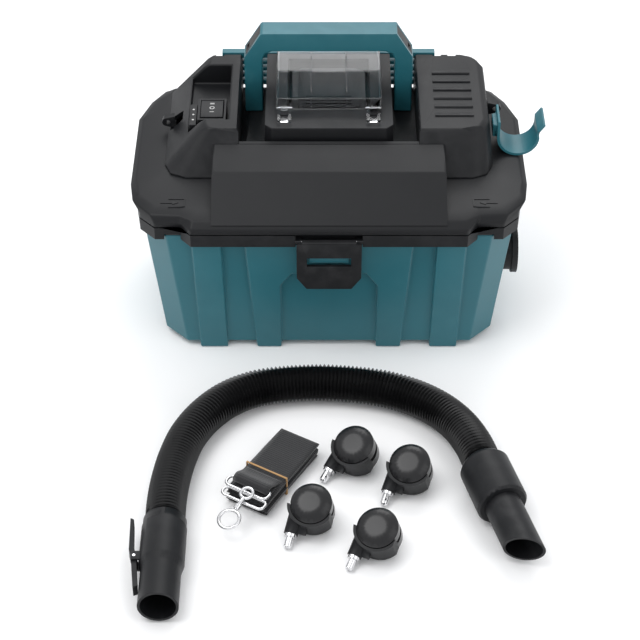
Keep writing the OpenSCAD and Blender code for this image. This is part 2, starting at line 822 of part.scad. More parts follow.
module strap_eyes() color(black) {
    translate([pod_out + 2.8, eye_y, right_eye_z]) strap_eye();
    translate([-pod_out + 2, eye_y, left_eye_z]) mirror([1, 0, 0]) strap_eye();
}

// ---------------------------------------------------------------- motor, fan, filter

motor_top = deck_z - 27;
fan_low = tank_h - 30;

module motor_housing() color(steel) {
    translate([0, motor_y, plate_z + 0.1]) difference() {
        cylinder(r = motor_r, h = motor_top - plate_z);
        translate([0, 0, 4]) cylinder(r = motor_r - 3, h = motor_top - plate_z - 8);
        translate([0, 0, -1]) cylinder(r = 8, h = 90);
        for (a = [0:60:300]) rotate([0, 0, a]) translate([motor_r - 10, -4, motor_top - plate_z - 6])
            cube([12, 8, 3]);
    }
}

module bearing_ring(z) {
    translate([0, motor_y, z]) difference() {
        cylinder(r = 8, h = 4);
        translate([0, 0, -1]) cylinder(r = shaft_r + run_gap, h = 6);
    }
}

module motor_bearings() color(steel) {
    bearing_ring(plate_z + 0.1);
    bearing_ring(motor_top - 3.9);
}

module motor_rotor() color(copper) {
    translate([0, motor_y, fan_low + 7]) cylinder(r = shaft_r, h = motor_top - fan_low - 6.5);
    translate([0, motor_y, plate_z + 8]) difference() {
        cylinder(r = 20, h = motor_top - plate_z - 18);
        for (a = [0:60:300]) rotate([0, 0, a]) translate([19, 0, -1]) cylinder(r = 3, h = 60);
    }
}

module impeller() color(steel) {
    translate([0, motor_y, fan_low + 8]) difference() {
        union() {
            cylinder(r = 9, h = 16);
            cylinder(r = fan_r - 8, h = 2);
            for (a = [0:40:320]) rotate([0, 0, a]) translate([6, -1, 0]) cube([fan_r - 16, 2, 14]);
        }
        translate([0, 0, -1]) cylinder(r = shaft_r, h = 20);
    }
}

module fan_housing() color(black) {
    translate([0, motor_y, fan_low]) difference() {
        cylinder(r = fan_r, h = plate_z - fan_low - 0.2);
        translate([0, 0, 3]) cylinder(r = fan_r - 3, h = plate_z - fan_low - 6.2);
        translate([0, 0, -1]) cylinder(r = 18, h = 10);
        translate([0, 0, plate_z - fan_low - 5]) cylinder(r = 16, h = 10);
        for (a = [0:30:330]) rotate([0, 0, a]) translate([fan_r - 12, -5, plate_z - fan_low - 5])
            cube([6, 10, 6]);
    }
}

cage_low = 36;
cage_h = fan_low - cage_low - 0.2;

module filter_cage() color(black) {
    translate([0, motor_y, cage_low]) {
        difference() {
            cylinder(r = cage_r, h = cage_h);
            translate([0, 0, 3]) cylinder(r = cage_r - 3, h = cage_h);
            for (a = [0:30:150]) rotate([0, 0, a]) translate([-60, -6, 12]) cube([120, 12, cage_h - 28]);
            for (a = [0:72:288]) rotate([0, 0, a]) translate([24, 0, -1]) cylinder(r = 6, h = 6);
        }
        // rails that guide the float
        for (a = [45:90:315]) rotate([0, 0, a]) translate([19.5, -1.5, 2]) cube([3, 3, cage_h - 8]);
    }
}

module float_ball() color([0.85, 0.85, 0.83]) {
    translate([0, motor_y, cage_low + 22]) sphere(r = 18, $fn = 64);
}

pleats = 36;
pleat_ring = [
    for (i = [0:2 * pleats - 1])
        let (r = i % 2 == 0 ? cage_r + 13 : cage_r + 4, a = i * 180 / pleats) [r * cos(a), r * sin(a)]
];

module filter_element() color([0.85, 0.84, 0.8]) {
    translate([0, motor_y, cage_low + 1]) linear_extrude(cage_h - 6) difference() {
        polygon(pleat_ring);
        circle(r = cage_r + 0.4);
    }
}

module filter_cap() color(black) {
    translate([0, motor_y, cage_low - 6]) difference() {
        cylinder(r = cage_r + 15, h = 8);
        translate([0, 0, 5.8]) cylinder(r = cage_r + 13.4, h = 4);
    }
}

module control_board() color(green) {
    x = -pod_in - 33;
    block([x - 24, rocker_y - 24, tray_z + 3], [x + 18, rocker_y + 44, tray_z + 4.6]);
    translate([x - 10, rocker_y + 4, tray_z + 4.5]) cylinder(r = 5, h = 8);
    block([x - 20, rocker_y + 20, tray_z + 4.5], [x + 10, rocker_y + 36, tray_z + 9]);
}

module exhaust_foam() color(rubber) {
    block([pod_in + 8, pod_front + 6, tray_z + 2], [pod_out - 8, pod_back - 16, tray_z + 14]);
}

// ---------------------------------------------------------------- hose and its fittings

nozzle_cuff_r = 25;
hose_z = hose_r + 0.3;
// Route of the hose's centreline on the floor, from the inlet cuff to the nozzle cuff:
// X and Y, with the ends raised to the height at which the fittings hold them
hose_route = [
    [-156, -388, collar_r], [-156, -360, collar_r], [-154, -330, hose_z + 1], [-149, -297, hose_z],
    [-140, -266, hose_z], [-124, -237, hose_z], [-102, -213, hose_z], [-74, -197, hose_z],
    [-42, -190, hose_z], [-8, -188, hose_z], [26, -191, hose_z], [58, -198, hose_z],
    [87, -211, hose_z], [112, -231, hose_z + 1], [130, -256, hose_z + 3],
    [142, -285, nozzle_cuff_r], [150, -314, nozzle_cuff_r]
];
hose_sides = 12;

// A tube of n sides about a nearly level route
module swept_tube(route, r, n) {
    m = len(route);
    along = [
        for (i = [0:m - 1])
            let (d = route[min(i + 1, m - 1)] - route[max(i - 1, 0)]) d / norm(d)
    ];
    points = [
        for (i = [0:m - 1]) for (k = [0:n - 1])
            let (a = 360 * (k + 0.5) / n, flat = norm([along[i][0], along[i][1]]), side = [-along[i][1], along[i][0]] / flat)
            [route[i][0] + side[0] * r * cos(a), route[i][1] + side[1] * r * cos(a), route[i][2] + r * sin(a)]
    ];
    walls = [
        for (i = [0:m - 2]) for (k = [0:n - 1])
            let (a = i * n + k, b = i * n + (k + 1) % n)
            for (face = [[a, b, b + n], [a, b + n, a + n]]) face
    ];
    polyhedron(
        points = points,
        faces = concat(
            [[for (k = [n - 1:-1:0]) k]], walls, [[for (k = [0:n - 1]) (m - 1) * n + k]]
        )
    );
}

module hose_tube() color(rubber) swept_tube(hose_route, hose_r, hose_sides);

last = len(hose_route) - 1;
nozzle_dir = hose_route[last] - hose_route[last - 1];
nozzle_turn = atan2(nozzle_dir[1], nozzle_dir[0]);
cuff_dir = hose_route[0] - hose_route[1];
cuff_turn = atan2(cuff_dir[1], cuff_dir[0]);

// Lays a fitting that is drawn along +Z down on the floor at an end of the hose
module at_cuff() {
    translate(hose_route[0]) rotate([0, 0, cuff_turn]) rotate([0, 90, 0])
        children();
}

module at_nozzle() {
    translate(hose_route[last]) rotate([0, 0, nozzle_turn])
        rotate([0, 90, 0]) children();
}

cuff_len = 106;
lever_y = cuff_r + 6.4;
lever_z = 50;
lever_side = -1;

module hose_cuff() color(black) {
    at_cuff() difference() {
        union() {
            translate([0, 0, 0.1]) cylinder(r = collar_r - 0.8, h = 12);
            translate([0, 0, 10]) cylinder(r = collar_r, h = 44);
            translate([0, 0, 54]) cylinder(r1 = collar_r, r2 = cuff_r, h = 10);
            cylinder(r = cuff_r, h = cuff_len);
            for (x = [-8.6, 6.6]) translate([x, lever_side * lever_y - 3, lever_z - 5]) cube([2, 12, 10]);
        }
        translate([0, 0, 8]) cylinder(r = cuff_r - 2.4, h = cuff_len);
        translate([-20, lever_side * lever_y, lever_z]) rotate([0, 90, 0]) cylinder(r = 1.5, h = 40);
    }
}

module cuff_latch_pin() color(steel) {
    at_cuff() translate([-8.6, lever_side * lever_y, lever_z]) rotate([0, 90, 0]) cylinder(r = 1.5, h = 17.2);
}

// The rocking lever whose claw holds the cuff in the inlet
module cuff_latch() color(black) {
    at_cuff() difference() {
        union() {
            translate([-6.2, lever_side * lever_y, lever_z]) rotate([0, 90, 0]) cylinder(r = 3, h = 12.4);
            translate([-6.2, 0, 0]) rotate([90, 0, 90]) linear_extrude(12.4) polygon([
                [lever_side * (lever_y + 7), 0], [lever_side * (lever_y + 3.4), 2],
                [lever_side * (lever_y + 1.4), 34], [lever_side * (lever_y - 2.2), 52],
                [lever_side * (lever_y - 3.6), 66], [lever_side * (lever_y - 5.8), 86],
                [lever_side * (lever_y - 1.5), 88], [lever_side * (lever_y + 1), 68],
                [lever_side * (lever_y + 3), 50], [lever_side * (lever_y + 5.6), 40]
            ]);
        }
        translate([-20, lever_side * lever_y, lever_z]) rotate([0, 90, 0])
            cylinder(r = 1.5 + run_gap, h = 40);
    }
}

nozzle_cuff_len = 58;
mouth_slant = 28;
mouth_roll = -70;

module nozzle_cuff() color(black) {
    at_nozzle() difference() {
        union() {
            translate([0, 0, 0.1]) cylinder(r1 = nozzle_cuff_r - 3, r2 = nozzle_cuff_r, h = 5);
            translate([0, 0, 5]) cylinder(r = nozzle_cuff_r, h = nozzle_cuff_len - 8);
            translate([0, 0, nozzle_cuff_len - 3]) cylinder(r1 = nozzle_cuff_r, r2 = nozzle_cuff_r - 2, h = 3);
        }
        translate([0, 0, 14]) cylinder(r = nozzle_r + run_gap, h = nozzle_cuff_len);
    }
}

module nozzle_tube() color(black) {
    at_nozzle() translate([0, 0, 15]) difference() {
        cylinder(r = nozzle_r, h = nozzle_cuff_len + nozzle_len - 15);
        translate([0, 0, -1]) cylinder(r = nozzle_r - 2.2, h = 200);
        // the mouth is cut at a slant, shorter on its left and slightly at the top
        translate([0, 0, nozzle_cuff_len + nozzle_len - 15 - nozzle_r * tan(mouth_slant)])
            rotate([0, 0, mouth_roll]) rotate([0, mouth_slant, 0])
            translate([-40, -40, 0]) cube([80, 80, 60]);
    }
}

// ---------------------------------------------------------------- shoulder strap

bundle_at = [-57, -311, 0];
bundle_turn = 59;

module on_bundle() {
    translate(bundle_at) rotate([0, 0, bundle_turn]) children();
}

band_x = -8;
band_t = 1;

module strap_webbing() color(fabric) {
    on_bundle() difference() {
        translate([4, 0, bundle_h / 2]) cube([bundle_l - 8, web_w, bundle_h], center = true);
        translate([4 - bundle_l / 2, 0, bundle_h + 3]) rotate([0, 14, 0])
            cube([50, web_w + 2, 12], center = true);
        translate([band_x, 0, 0]) cube([4, web_w + 2, 2 * band_t + 1], center = true);
    }
}

module strap_band() color(tan) {
    on_bundle() translate([band_x, 0, (bundle_h + 2 * band_t) / 2]) difference() {
        cube([2, web_w + 2 * band_t + 1, bundle_h + 2 * band_t], center = true);
        cube([4, web_w + 0.6, bundle_h + 0.2], center = true);
    }
}

loop_wire = 1.6;

// A rectangular wire loop lying flat, x along the strap
module wire_loop(x, y) {
    for (sy = [-1, 1]) translate([-x / 2, sy * y / 2, 0]) rotate([0, 90, 0]) cylinder(r = loop_wire, h = x);
    for (sx = [-1, 1]) translate([sx * x / 2, y / 2, 0]) rotate([90, 0, 0]) cylinder(r = loop_wire, h = y);
    for (sx = [-1, 1], sy = [-1, 1]) translate([sx * x / 2, sy * y / 2, 0]) sphere(r = loop_wire, $fn = 24);
}

module strap_loops() color(steel) {
    on_bundle() {
        translate([-bundle_l / 2 + 14, 2, bundle_h + 3]) wire_loop(12, web_w + 2);
        translate([-bundle_l / 2 + 2, -1, bundle_h + 1]) wire_loop(10, web_w + 2);
    }
}

// Snap hook with its swivel and ring, lying over the bundle's end
module snap_hook() color(steel) {
    on_bundle() translate([-bundle_l / 2 - 3, -4, bundle_h + 6.6]) rotate([0, 14, 180]) {
        translate([-0.6, 0, 0]) rotate([0, 90, 0]) cylinder(r = 2.1, h = 16);
        translate([-6.2, 0, 0]) rotate_extrude($fn = 40) translate([6, 0]) circle(r = 1.5, $fn = 20);
        translate([9, 0, 0]) rotate([0, 90, 0]) cylinder(r = 3.4, h = 5);
        translate([26.4, 0, 0]) rotate_extrude($fn = 48) translate([10, 0]) circle(r = 1.8, $fn = 20);
    }
}

// ---------------------------------------------------------------- casters

lean = 26;
dome_r = wheel_r - 4;
half_w = caster_w / 2;
// Height of the wheels' centre when the caster rests on its dome's edge and its stem's tip
caster_z = (half_w - 2) * cos(lean) + dome_r * sin(lean);
stem_len = (caster_z - (stem_r - 1) * cos(lean)) / sin(lean);
// The stem's foot in the hood, and the collar that seats on the hood
stem_foot = sqrt(pow(wheel_r + 1, 2) - pow(caster_trail, 2));
collar_z = wheel_r + 10.3;
// Where each caster's wheel centre lies and the way its stem points
casters = [[27, -290, 236], [80, -316, 248], [-16, -370, 254], [47, -402, 245]];

// Stands a caster, drawn with wheels across X and stem along +Z, down on its side
module lay_down(i) {
    translate([casters[i][0], casters[i][1], caster_z]) rotate([0, 0, casters[i][2]])
        rotate([0, 90 + lean, 0]) rotate([0, 0, 180]) children();
}

module wheel_half() {
    rotate([0, 90, 0]) {
        cylinder(r = wheel_r, h = half_w - 9);
        translate([0, 0, half_w - 9]) cylinder(r1 = wheel_r, r2 = dome_r, h = 4);
        translate([0, 0, half_w - 5]) cylinder(r1 = dome_r, r2 = dome_r / 2, h = 2);
    }
}

module caster_wheels(i) color(black) {
    lay_down(i) mirror_copy([1, 0, 0]) translate([3, 0, 0]) difference() {
        wheel_half();
        rotate([0, 90, 0]) translate([0, 0, -1]) cylinder(r = 3 + run_gap, h = half_w - 7);
    }
}

module caster_hood(i) color(black) {
    lay_down(i) {
        difference() {
            union() {
                rotate([0, 90, 0]) translate([0, 0, -2.4]) cylinder(r = wheel_r - 3, h = 4.8);
                block([-2.4, 0, 0], [2.4, caster_trail + 6, wheel_r + 8]);
                rotate([0, 90, 0]) translate([0, 0, -half_w + 7]) cylinder(r = 3, h = caster_w - 14);
                translate([0, caster_trail, 4]) cylinder(r = 7, h = wheel_r + 6);
                intersection() {
                    rotate([0, 90, 0]) translate([0, 0, -half_w + 7]) cylinder(r = wheel_r + 3.4, h = caster_w - 14);
                    block([-half_w, -wheel_r, 4], [half_w, wheel_r + 4, wheel_r + 4]);
                }
            }
            mirror_copy([1, 0, 0]) difference() {
                rotate([0, 90, 0]) translate([0, 0, 2.4]) cylinder(r = wheel_r + 0.6, h = half_w);
                rotate([0, 90, 0]) cylinder(r = 3, h = half_w - 7);
            }
            translate([0, caster_trail, stem_foot]) cylinder(r = stem_r - 0.5 + run_gap, h = wheel_r + 10);
        }
    }
}

module caster_stem(i) color(steel) {
    lay_down(i) translate([0, caster_trail, 0]) {
        translate([0, 0, stem_foot + 0.2]) cylinder(r = stem_r - 0.5, h = wheel_r + 12 - stem_foot);
        translate([0, 0, collar_z]) cylinder(r = stem_r + 2, h = 3);
        translate([0, 0, collar_z + 2]) cylinder(r = stem_r, h = stem_len - collar_z - 4);
        translate([0, 0, stem_len - 2.2]) cylinder(r1 = stem_r, r2 = stem_r - 1.2, h = 2);
    }
}

tank();
inlet_port();
inlet_seal();
head_gasket();
head_base();
head_cover();
top_housing();
battery_box();
front_cover();
rear_cover();
battery_cover();
cover_clips();
cover_clip_pins();
battery_pack();
battery_terminals();
handle();
handle_caps();
handle_screws();
switch_bezel();
power_rocker();
indicator_strip();
hose_hook();
strap_eyes();
front_latch();
rear_latch();
latch_pins();
motor_housing();
motor_rotor();
impeller();
motor_bearings();
fan_housing();
control_board();
exhaust_foam();
filter_cage();
float_ball();
filter_element();
filter_cap();
housing_screws();
hose_tube();
hose_cuff();
cuff_latch();
cuff_latch_pin();
nozzle_cuff();
nozzle_tube();
strap_webbing();
strap_band();
strap_loops();
snap_hook();
caster_hood(0);  // caster_1_hood
caster_wheels(0);  // caster_1_wheels
caster_stem(0);  // caster_1_stem
caster_hood(1);  // caster_2_hood
caster_wheels(1);  // caster_2_wheels
caster_stem(1);  // caster_2_stem
caster_hood(2);  // caster_3_hood
caster_wheels(2);  // caster_3_wheels
caster_stem(2);  // caster_3_stem
caster_hood(3);  // caster_4_hood
caster_wheels(3);  // caster_4_wheels
caster_stem(3);  // caster_4_stem
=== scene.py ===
"""Detailed pieces, finishes, light and camera for a cordless wet and dry shop vacuum.

The CAD frame gives every place. Each sub-assembly is a class that holds its own sizes, shapes its
meshes with bmesh operators and gives each piece a procedural finish.
"""

import json
import logging
import math
from dataclasses import dataclass, replace
from enum import Enum

import bmesh
import bpy
from mathutils import Matrix, Vector
from mathutils.bvhtree import BVHTree


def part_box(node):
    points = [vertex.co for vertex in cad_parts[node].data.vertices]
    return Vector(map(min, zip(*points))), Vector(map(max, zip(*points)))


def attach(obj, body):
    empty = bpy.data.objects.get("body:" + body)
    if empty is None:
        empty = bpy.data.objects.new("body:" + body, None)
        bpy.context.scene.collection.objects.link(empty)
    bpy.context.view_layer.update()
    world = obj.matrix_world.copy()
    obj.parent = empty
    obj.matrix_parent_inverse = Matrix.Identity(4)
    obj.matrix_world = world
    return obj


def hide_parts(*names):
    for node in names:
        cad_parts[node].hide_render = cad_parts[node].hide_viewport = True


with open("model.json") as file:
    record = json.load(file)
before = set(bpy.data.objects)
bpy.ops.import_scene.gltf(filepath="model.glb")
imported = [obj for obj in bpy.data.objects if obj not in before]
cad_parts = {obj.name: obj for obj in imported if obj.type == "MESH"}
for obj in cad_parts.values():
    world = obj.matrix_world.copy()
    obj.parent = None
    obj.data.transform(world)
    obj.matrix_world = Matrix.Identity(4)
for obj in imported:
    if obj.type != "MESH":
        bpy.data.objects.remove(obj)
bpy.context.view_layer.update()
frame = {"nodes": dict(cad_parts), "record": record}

MM = 0.001
ROOM_PER_WIDTH = 2.3        # shortest edge beside a rounding, in widths of the rounding
log = logging.getLogger("shop_vacuum")


# ------------------------------------------------------------------ shader graphs


class Graph:
    """A node tree with short calls for adding nodes and links."""

    def __init__(self, tree: bpy.types.NodeTree) -> None:
        """Wraps an existing tree.

        Args:
            tree: the material's or group's node tree.
        """
        self.tree = tree

    def add(self, kind: str, **settings: object) -> bpy.types.Node:
        """Adds a node and sets its properties.

        Args:
            kind: the node's type name.
            settings: property values by name.

        Returns:
            The new node.
        """
        made = self.tree.nodes.new(kind)
        for key, value in settings.items():
            setattr(made, key, value)
        return made

    def wire(self, source: object, target: object) -> None:
        """Links an output socket to an input socket, or sets a plain value on it.

        Args:
            source: the output socket, or a number or colour.
            target: the input socket.
        """
        if isinstance(source, bpy.types.NodeSocket):
            self.tree.links.new(source, target)
        else:
            target.default_value = source

    def math(self, how: str, a: object, b: object = 0.0, clamp: bool = False) -> bpy.types.NodeSocket:
        """Adds a Math node.

        Args:
            how: the operation's name.
            a: first socket or number.
            b: second socket or number.
            clamp: whether the result is held between 0 and 1.

        Returns:
            The result's socket.
        """
        made = self.add("ShaderNodeMath", operation=how, use_clamp=clamp)
        self.wire(a, made.inputs[0])
        self.wire(b, made.inputs[1])
        return made.outputs[0]

    def remap(self, value: object, low: float, high: float, to_low: float, to_high: float) -> object:
        """Maps a value from one range to another, held at the ends.

        Args:
            value: the socket or number.
            low: low end of its range.
            high: high end of its range.
            to_low: what the low end becomes.
            to_high: what the high end becomes.

        Returns:
            The result's socket.
        """
        made = self.add("ShaderNodeMapRange")
        self.wire(value, made.inputs["Value"])
        for key, number in (("From Min", low), ("From Max", high), ("To Min", to_low), ("To Max", to_high)):
            made.inputs[key].default_value = number
        return made.outputs["Result"]

    def noise(self, where: object, scale: object, detail: float = 3.0) -> bpy.types.NodeSocket:
        """Adds a noise texture.

        Args:
            where: the vector that it reads.
            scale: socket or number, in cells per metre.
            detail: how many finer layers it has.

        Returns:
            The noise value's socket.
        """
        made = self.add("ShaderNodeTexNoise")
        self.wire(where, made.inputs["Vector"])
        self.wire(scale, made.inputs["Scale"])
        made.inputs["Detail"].default_value = detail
        return made.outputs[0]

    def blend(self, factor: object, a: object, b: object) -> bpy.types.NodeSocket:
        """Mixes two colours.

        Args:
            factor: 0 for the first colour, 1 for the second.
            a: first socket or colour.
            b: second socket or colour.

        Returns:
            The mixed colour's socket.
        """
        made = self.add("ShaderNodeMix", data_type="RGBA")
        self.wire(factor, made.inputs[0])
        self.wire(a, made.inputs[6])
        self.wire(b, made.inputs[7])
        return made.outputs[2]


class Effects:
    """The shader node groups that several finishes share."""

    def __init__(self) -> None:
        """Builds every group once."""
        self.grain = self._grain()
        self.edge_wear = self._edge_wear()
        self.dust = self._dust()
        self.weave = self._weave()

    @staticmethod
    def _group(name: str, takes: dict[str, float], gives: tuple[str, ...]) -> tuple[Graph, object, object]:
        """Starts a group with a Vector input, number inputs and number outputs.

        Args:
            name: the group's name.
            takes: number inputs and their defaults.
            gives: names of the outputs.

        Returns:
            The graph, its input node and its output node.
        """
        tree = bpy.data.node_groups.new(name, "ShaderNodeTree")
        tree.interface.new_socket("Vector", in_out="INPUT", socket_type="NodeSocketVector")
        for key, value in takes.items():
            made = tree.interface.new_socket(key, in_out="INPUT", socket_type="NodeSocketFloat")
            made.default_value = value
        for key in gives:
            tree.interface.new_socket(key, in_out="OUTPUT", socket_type="NodeSocketFloat")
        graph = Graph(tree)
        return graph, graph.add("NodeGroupInput"), graph.add("NodeGroupOutput")

    def _grain(self) -> bpy.types.NodeTree:
        """Spark-eroded mould grain: fine pebbles over a slow change of tone.

        Returns:
            The group's node tree.
        """
        g, src, out = self._group("Mould grain", {"Scale": 900.0, "Depth": 0.3}, ("Height", "Tone"))
        cells = g.add("ShaderNodeTexVoronoi", feature="SMOOTH_F1")
        g.wire(src.outputs["Vector"], cells.inputs["Vector"])
        g.wire(src.outputs["Scale"], cells.inputs["Scale"])
        fine = g.noise(src.outputs["Vector"], g.math("MULTIPLY", src.outputs["Scale"], 1.9), 2.0)
        both = g.math("ADD", cells.outputs["Distance"], g.math("MULTIPLY", fine, 0.6))
        g.wire(g.math("MULTIPLY", both, src.outputs["Depth"]), out.inputs["Height"])
        g.wire(g.remap(g.noise(src.outputs["Vector"], 14.0, 4.0), 0.3, 0.7, 0.0, 1.0), out.inputs["Tone"])
        return g.tree

    def _edge_wear(self) -> bpy.types.NodeTree:
        """Pale rubbed edges, broken up by noise.

        Returns:
            The group's node tree.
        """
        g, src, out = self._group("Edge wear", {"Amount": 0.3}, ("Mask",))
        shape = g.add("ShaderNodeNewGeometry")
        edge = g.remap(shape.outputs["Pointiness"], 0.53, 0.62, 0.0, 1.0)
        patch = g.remap(g.noise(src.outputs["Vector"], 60.0, 5.0), 0.42, 0.62, 0.0, 1.0)
        broken = g.math("MULTIPLY", edge, patch)
        g.wire(g.math("MULTIPLY", broken, src.outputs["Amount"], True), out.inputs["Mask"])
        return g.tree

    def _dust(self) -> bpy.types.NodeTree:
        """A thin film of dust on what faces up.

        Returns:
            The group's node tree.
        """
        g, src, out = self._group("Dust film", {"Amount": 0.1}, ("Mask",))
        shape = g.add("ShaderNodeNewGeometry")
        parts = g.add("ShaderNodeSeparateXYZ")
        g.wire(shape.outputs["Normal"], parts.inputs[0])
        up = g.remap(parts.outputs[2], 0.2, 1.0, 0.0, 1.0)
        patch = g.remap(g.noise(src.outputs["Vector"], 35.0, 6.0), 0.35, 0.75, 0.2, 1.0)
        settled = g.math("MULTIPLY", up, patch)
        g.wire(g.math("MULTIPLY", settled, src.outputs["Amount"], True), out.inputs["Mask"])
        return g.tree

    def _weave(self) -> bpy.types.NodeTree:
        """Plain weave on a piece's UV map, where one unit is a metre.

        Returns:
            The group's node tree.
        """
        g, src, out = self._group("Plain weave", {"Threads": 900.0, "Depth": 1.0}, ("Height", "Shade"))
        parts = g.add("ShaderNodeSeparateXYZ")
        g.wire(src.outputs["Vector"], parts.inputs[0])
        turns = g.math("MULTIPLY", src.outputs["Threads"], math.pi)
        across = g.math("SINE", g.math("MULTIPLY", parts.outputs[0], turns))
        along = g.math("SINE", g.math("MULTIPLY", parts.outputs[1], g.math("MULTIPLY", turns, 0.55)))
        crossed = g.math("MULTIPLY", across, along)
        g.wire(g.math("MULTIPLY", g.math("ABSOLUTE", crossed), src.outputs["Depth"]), out.inputs["Height"])
        g.wire(g.remap(crossed, -1.0, 1.0, 0.0, 1.0), out.inputs["Shade"])
        return g.tree


class Surface(Enum):
    """What kind of surface a finish has."""

    MOULDED = "moulded plastic"
    RUBBER = "rubber"
    METAL = "metal"
    CLEAR = "clear plastic"
    WOVEN = "woven webbing"
    MEDIA = "filter media or foam"


@dataclass(frozen=True)
class Finish:
    """One finish: its colours and how its surface breaks up.

    Attributes:
        name: the material's name.
        surface: the kind of surface.
        colour: linear base colour.
        worn: colour of rubbed edges.
        rough: lowest and highest roughness.
        grain: grain cells per metre.
        depth: bump strength of the grain.
        wear: amount of edge wear.
        dust: amount of dust film.
        coat: clear coat weight.
        shine: specular level of the bare surface.
        film: colour of the dust film.
    """

    name: str
    surface: Surface
    colour: tuple[float, float, float]
    worn: tuple[float, float, float] = (0.25, 0.25, 0.25)
    rough: tuple[float, float] = (0.38, 0.5)
    grain: float = 900.0
    depth: float = 0.12
    wear: float = 0.25
    dust: float = 0.06
    coat: float = 0.0
    shine: float = 0.5
    film: tuple[float, float, float] = (0.20, 0.195, 0.19)

    def material(self, effects: Effects) -> bpy.types.Material:
        """Builds the node material.

        Args:
            effects: the shared groups.

        Returns:
            The material.
        """
        made = bpy.data.materials.new(self.name)
        made.use_nodes = True
        g = Graph(made.node_tree)
        shader = next(n for n in made.node_tree.nodes if n.type == "BSDF_PRINCIPLED")
        place = g.add("ShaderNodeTexCoord")
        where = place.outputs["Object"]
        shader.inputs["Metallic"].default_value = 1.0 if self.surface is Surface.METAL else 0.0
        shader.inputs["Coat Weight"].default_value = self.coat
        shader.inputs["Coat Roughness"].default_value = 0.18
        shader.inputs["Specular IOR Level"].default_value = self.shine
        if self.surface is Surface.CLEAR:
            self._clear(g, shader, where, effects)
            return made
        grain = self._use(g, effects.grain, where, {"Scale": self.grain, "Depth": 1.0})
        wear = self._use(g, effects.edge_wear, where, {"Amount": self.wear})
        dust = self._use(g, effects.dust, where, {"Amount": self.dust})
        tone = grain.outputs["Tone"]
        height = grain.outputs["Height"]
        deep = tuple(c * 0.94 for c in self.colour) + (1.0,)
        light = tuple(min(1.0, c * 1.05) for c in self.colour) + (1.0,)
        colour = g.blend(tone, deep, light)
        if self.surface is Surface.WOVEN:
            weave = self._use(g, effects.weave, place.outputs["UV"], {"Threads": 720.0, "Depth": 1.0})
            colour = g.blend(weave.outputs["Shade"], tuple(c * 0.55 for c in self.colour) + (1.0,), light)
            height = weave.outputs["Height"]
            shader.inputs["Sheen Weight"].default_value = 0.35
            shader.inputs["Sheen Roughness"].default_value = 0.5
        colour = g.blend(wear.outputs["Mask"], colour, self.worn + (1.0,))
        colour = g.blend(dust.outputs["Mask"], colour, self.film + (1.0,))
        g.wire(colour, shader.inputs["Base Color"])
        rough = g.remap(tone, 0.0, 1.0, *self.rough)
        dulled = g.math("MULTIPLY", dust.outputs["Mask"], 0.5)
        g.wire(g.math("ADD", rough, dulled, True), shader.inputs["Roughness"])
        bump = g.add("ShaderNodeBump")
        bump.inputs["Strength"].default_value = self.depth
        bump.inputs["Distance"].default_value = 0.0003
        g.wire(height, bump.inputs["Height"])
        g.wire(bump.outputs["Normal"], shader.inputs["Normal"])
        return made

    @staticmethod
    def _use(g: Graph, group: bpy.types.NodeTree, where: object, values: dict[str, float]) -> bpy.types.Node:
        """Places a shared group with its own values.

        Args:
            g: the material's graph.
            group: the shared group.
            where: the vector it reads.
            values: its number inputs.

        Returns:
            The group node.
        """
        made = g.add("ShaderNodeGroup", node_tree=group)
        g.wire(where, made.inputs["Vector"])
        for key, value in values.items():
            made.inputs[key].default_value = value
        return made

    def _clear(self, g: Graph, shader: bpy.types.Node, where: object, effects: Effects) -> None:
        """Finishes the shader as clear moulded plastic with fine haze.

        Args:
            g: the material's graph.
            shader: the material's shader.
            where: the vector that its grain reads.
            effects: the shared groups.
        """
        shader.inputs["Base Color"].default_value = self.colour + (1.0,)
        shader.inputs["Transmission Weight"].default_value = 0.995
        shader.inputs["IOR"].default_value = 1.25
        grain = self._use(g, effects.grain, where, {"Scale": self.grain, "Depth": 1.0})
        g.wire(g.remap(grain.outputs["Tone"], 0.0, 1.0, *self.rough), shader.inputs["Roughness"])
        bump = g.add("ShaderNodeBump")
        bump.inputs["Strength"].default_value = self.depth
        bump.inputs["Distance"].default_value = 0.0002
        g.wire(grain.outputs["Height"], bump.inputs["Height"])
        g.wire(bump.outputs["Normal"], shader.inputs["Normal"])


